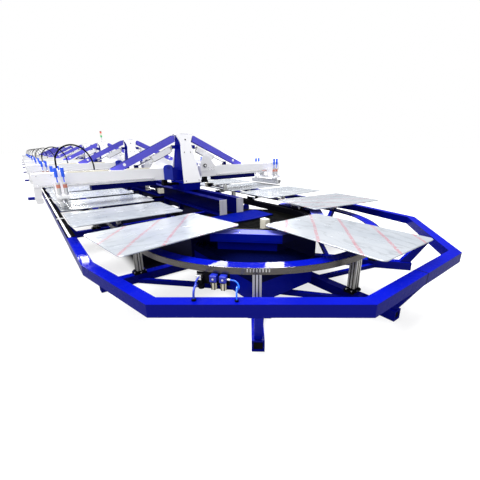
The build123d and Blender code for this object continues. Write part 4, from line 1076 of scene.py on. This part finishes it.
# White surroundings, dimmer in what the machine mirrors
def makeWorld():
    sizes = {"around": 0.62, "mirrored": 0.34}
    world = bpy.data.worlds.new("studio")
    bpy.context.scene.world = world
    world.use_nodes = True
    nodes = world.node_tree.nodes
    back = nodes["Background"]
    seen = nodes.new("ShaderNodeLightPath").outputs
    dimmed = mathOf("MULTIPLY", seen["Is Glossy Ray"], sizes["mirrored"] - sizes["around"])
    setInputs(back, {"Color": grey(1.0), "Strength": mathOf("ADD", dimmed, sizes["around"])})
    white = nodes.new("ShaderNodeBackground")
    setInputs(white, {"Color": grey(1.0), "Strength": 1.0})
    blend = nodes.new("ShaderNodeMixShader")
    for index, socket in enumerate((seen["Is Camera Ray"], back.outputs[0], white.outputs[0])):
        feed(blend.inputs[index], socket)
    feed(nodes["World Output"].inputs["Surface"], blend.outputs[0])


# A wide sun and the lamps that show as bright patches on pallets, band and rail
def makeLamps():
    sizes = {"sun": 6.8, "softness": 50.0, "sunLean": (-14.0, -10.0)}
    lamps = {  # place, aim, width and height, power
        "keyLamp": ((-8.0, -25.0, 9.0), (0.0, -12.0, 0.9), (6.0, 6.0), 800.0),
        "ceilingLamp": ((3.0, -8.0, 9.0), (0.0, -11.0, 0.6), (5.0, 5.0), 700.0),
        "windowLeft": ((3.07, -7.31, 3.95), (-1.22, -14.45, frameTop), (1.0, 0.45), 70.0),
        "windowRight": ((4.99, -8.81, 3.96), (-0.80, -14.78, frameTop), (0.75, 0.45), 75.0),
        "windowRing": ((4.80, -7.36, 3.14), (-0.57, -14.12, frameTop + 0.1), (1.6, 0.30), 14.0),
        "windowSide": ((-1.37, -4.91, 3.26), (-2.16, -13.44, frameTop), (0.5, 0.7), 75.0)}
    sun = bpy.data.lights.new("sun", "SUN")
    sun.energy = sizes["sun"]
    sun.angle = radians(sizes["softness"])
    sunLamp = linked("sun", sun)
    leanX, leanY = sizes["sunLean"]
    sunLamp.rotation_euler = (radians(leanX), radians(leanY), 0.0)
    for name, (where, aim, size, power) in lamps.items():
        light = bpy.data.lights.new(name, "AREA")
        light.shape = "RECTANGLE"
        light.size, light.size_y = size
        light.energy = power
        lamp = linked(name, light)
        lamp.location = where
        toward = Vector(aim) - Vector(where)
        lamp.rotation_euler = toward.to_track_quat("-Z", "Y").to_euler()


# Low wide view from the near left corner
def setCamera():
    sizes = {"place": (-2.441, turnY - 2.200 - 0.760, 1.496), "focal": 281.5013,
             "imageSide": 480.0, "sensor": 36.0, "clipEnd": 200.0,
             "pitch": 0.3153, "yaw": 0.6375, "roll": -0.0119}
    data = bpy.data.cameras.new("camera")
    data.sensor_width = sizes["sensor"]
    data.lens = sizes["focal"] * sizes["sensor"] / sizes["imageSide"]
    data.clip_end = sizes["clipEnd"]
    camera = linked("camera", data)
    bpy.context.scene.camera = camera
    yaw, tilt, roll = sizes["yaw"], sizes["pitch"], sizes["roll"]
    ahead = Vector((sin(yaw) * cos(tilt), cos(yaw) * cos(tilt), -sin(tilt)))
    right = Vector((cos(yaw), -sin(yaw), 0.0))
    up = right.cross(ahead)
    rolledRight = right * cos(roll) + up * sin(roll)
    rolledUp = up * cos(roll) - right * sin(roll)
    turn = Matrix((rolledRight, rolledUp, -ahead)).transposed().to_4x4()
    camera.matrix_world = Matrix.Translation(sizes["place"]) @ turn


makeFloor()
makeWorld()
makeLamps()
setCamera()
bpy.context.scene.view_settings.view_transform = "Standard"
print("studio ready")
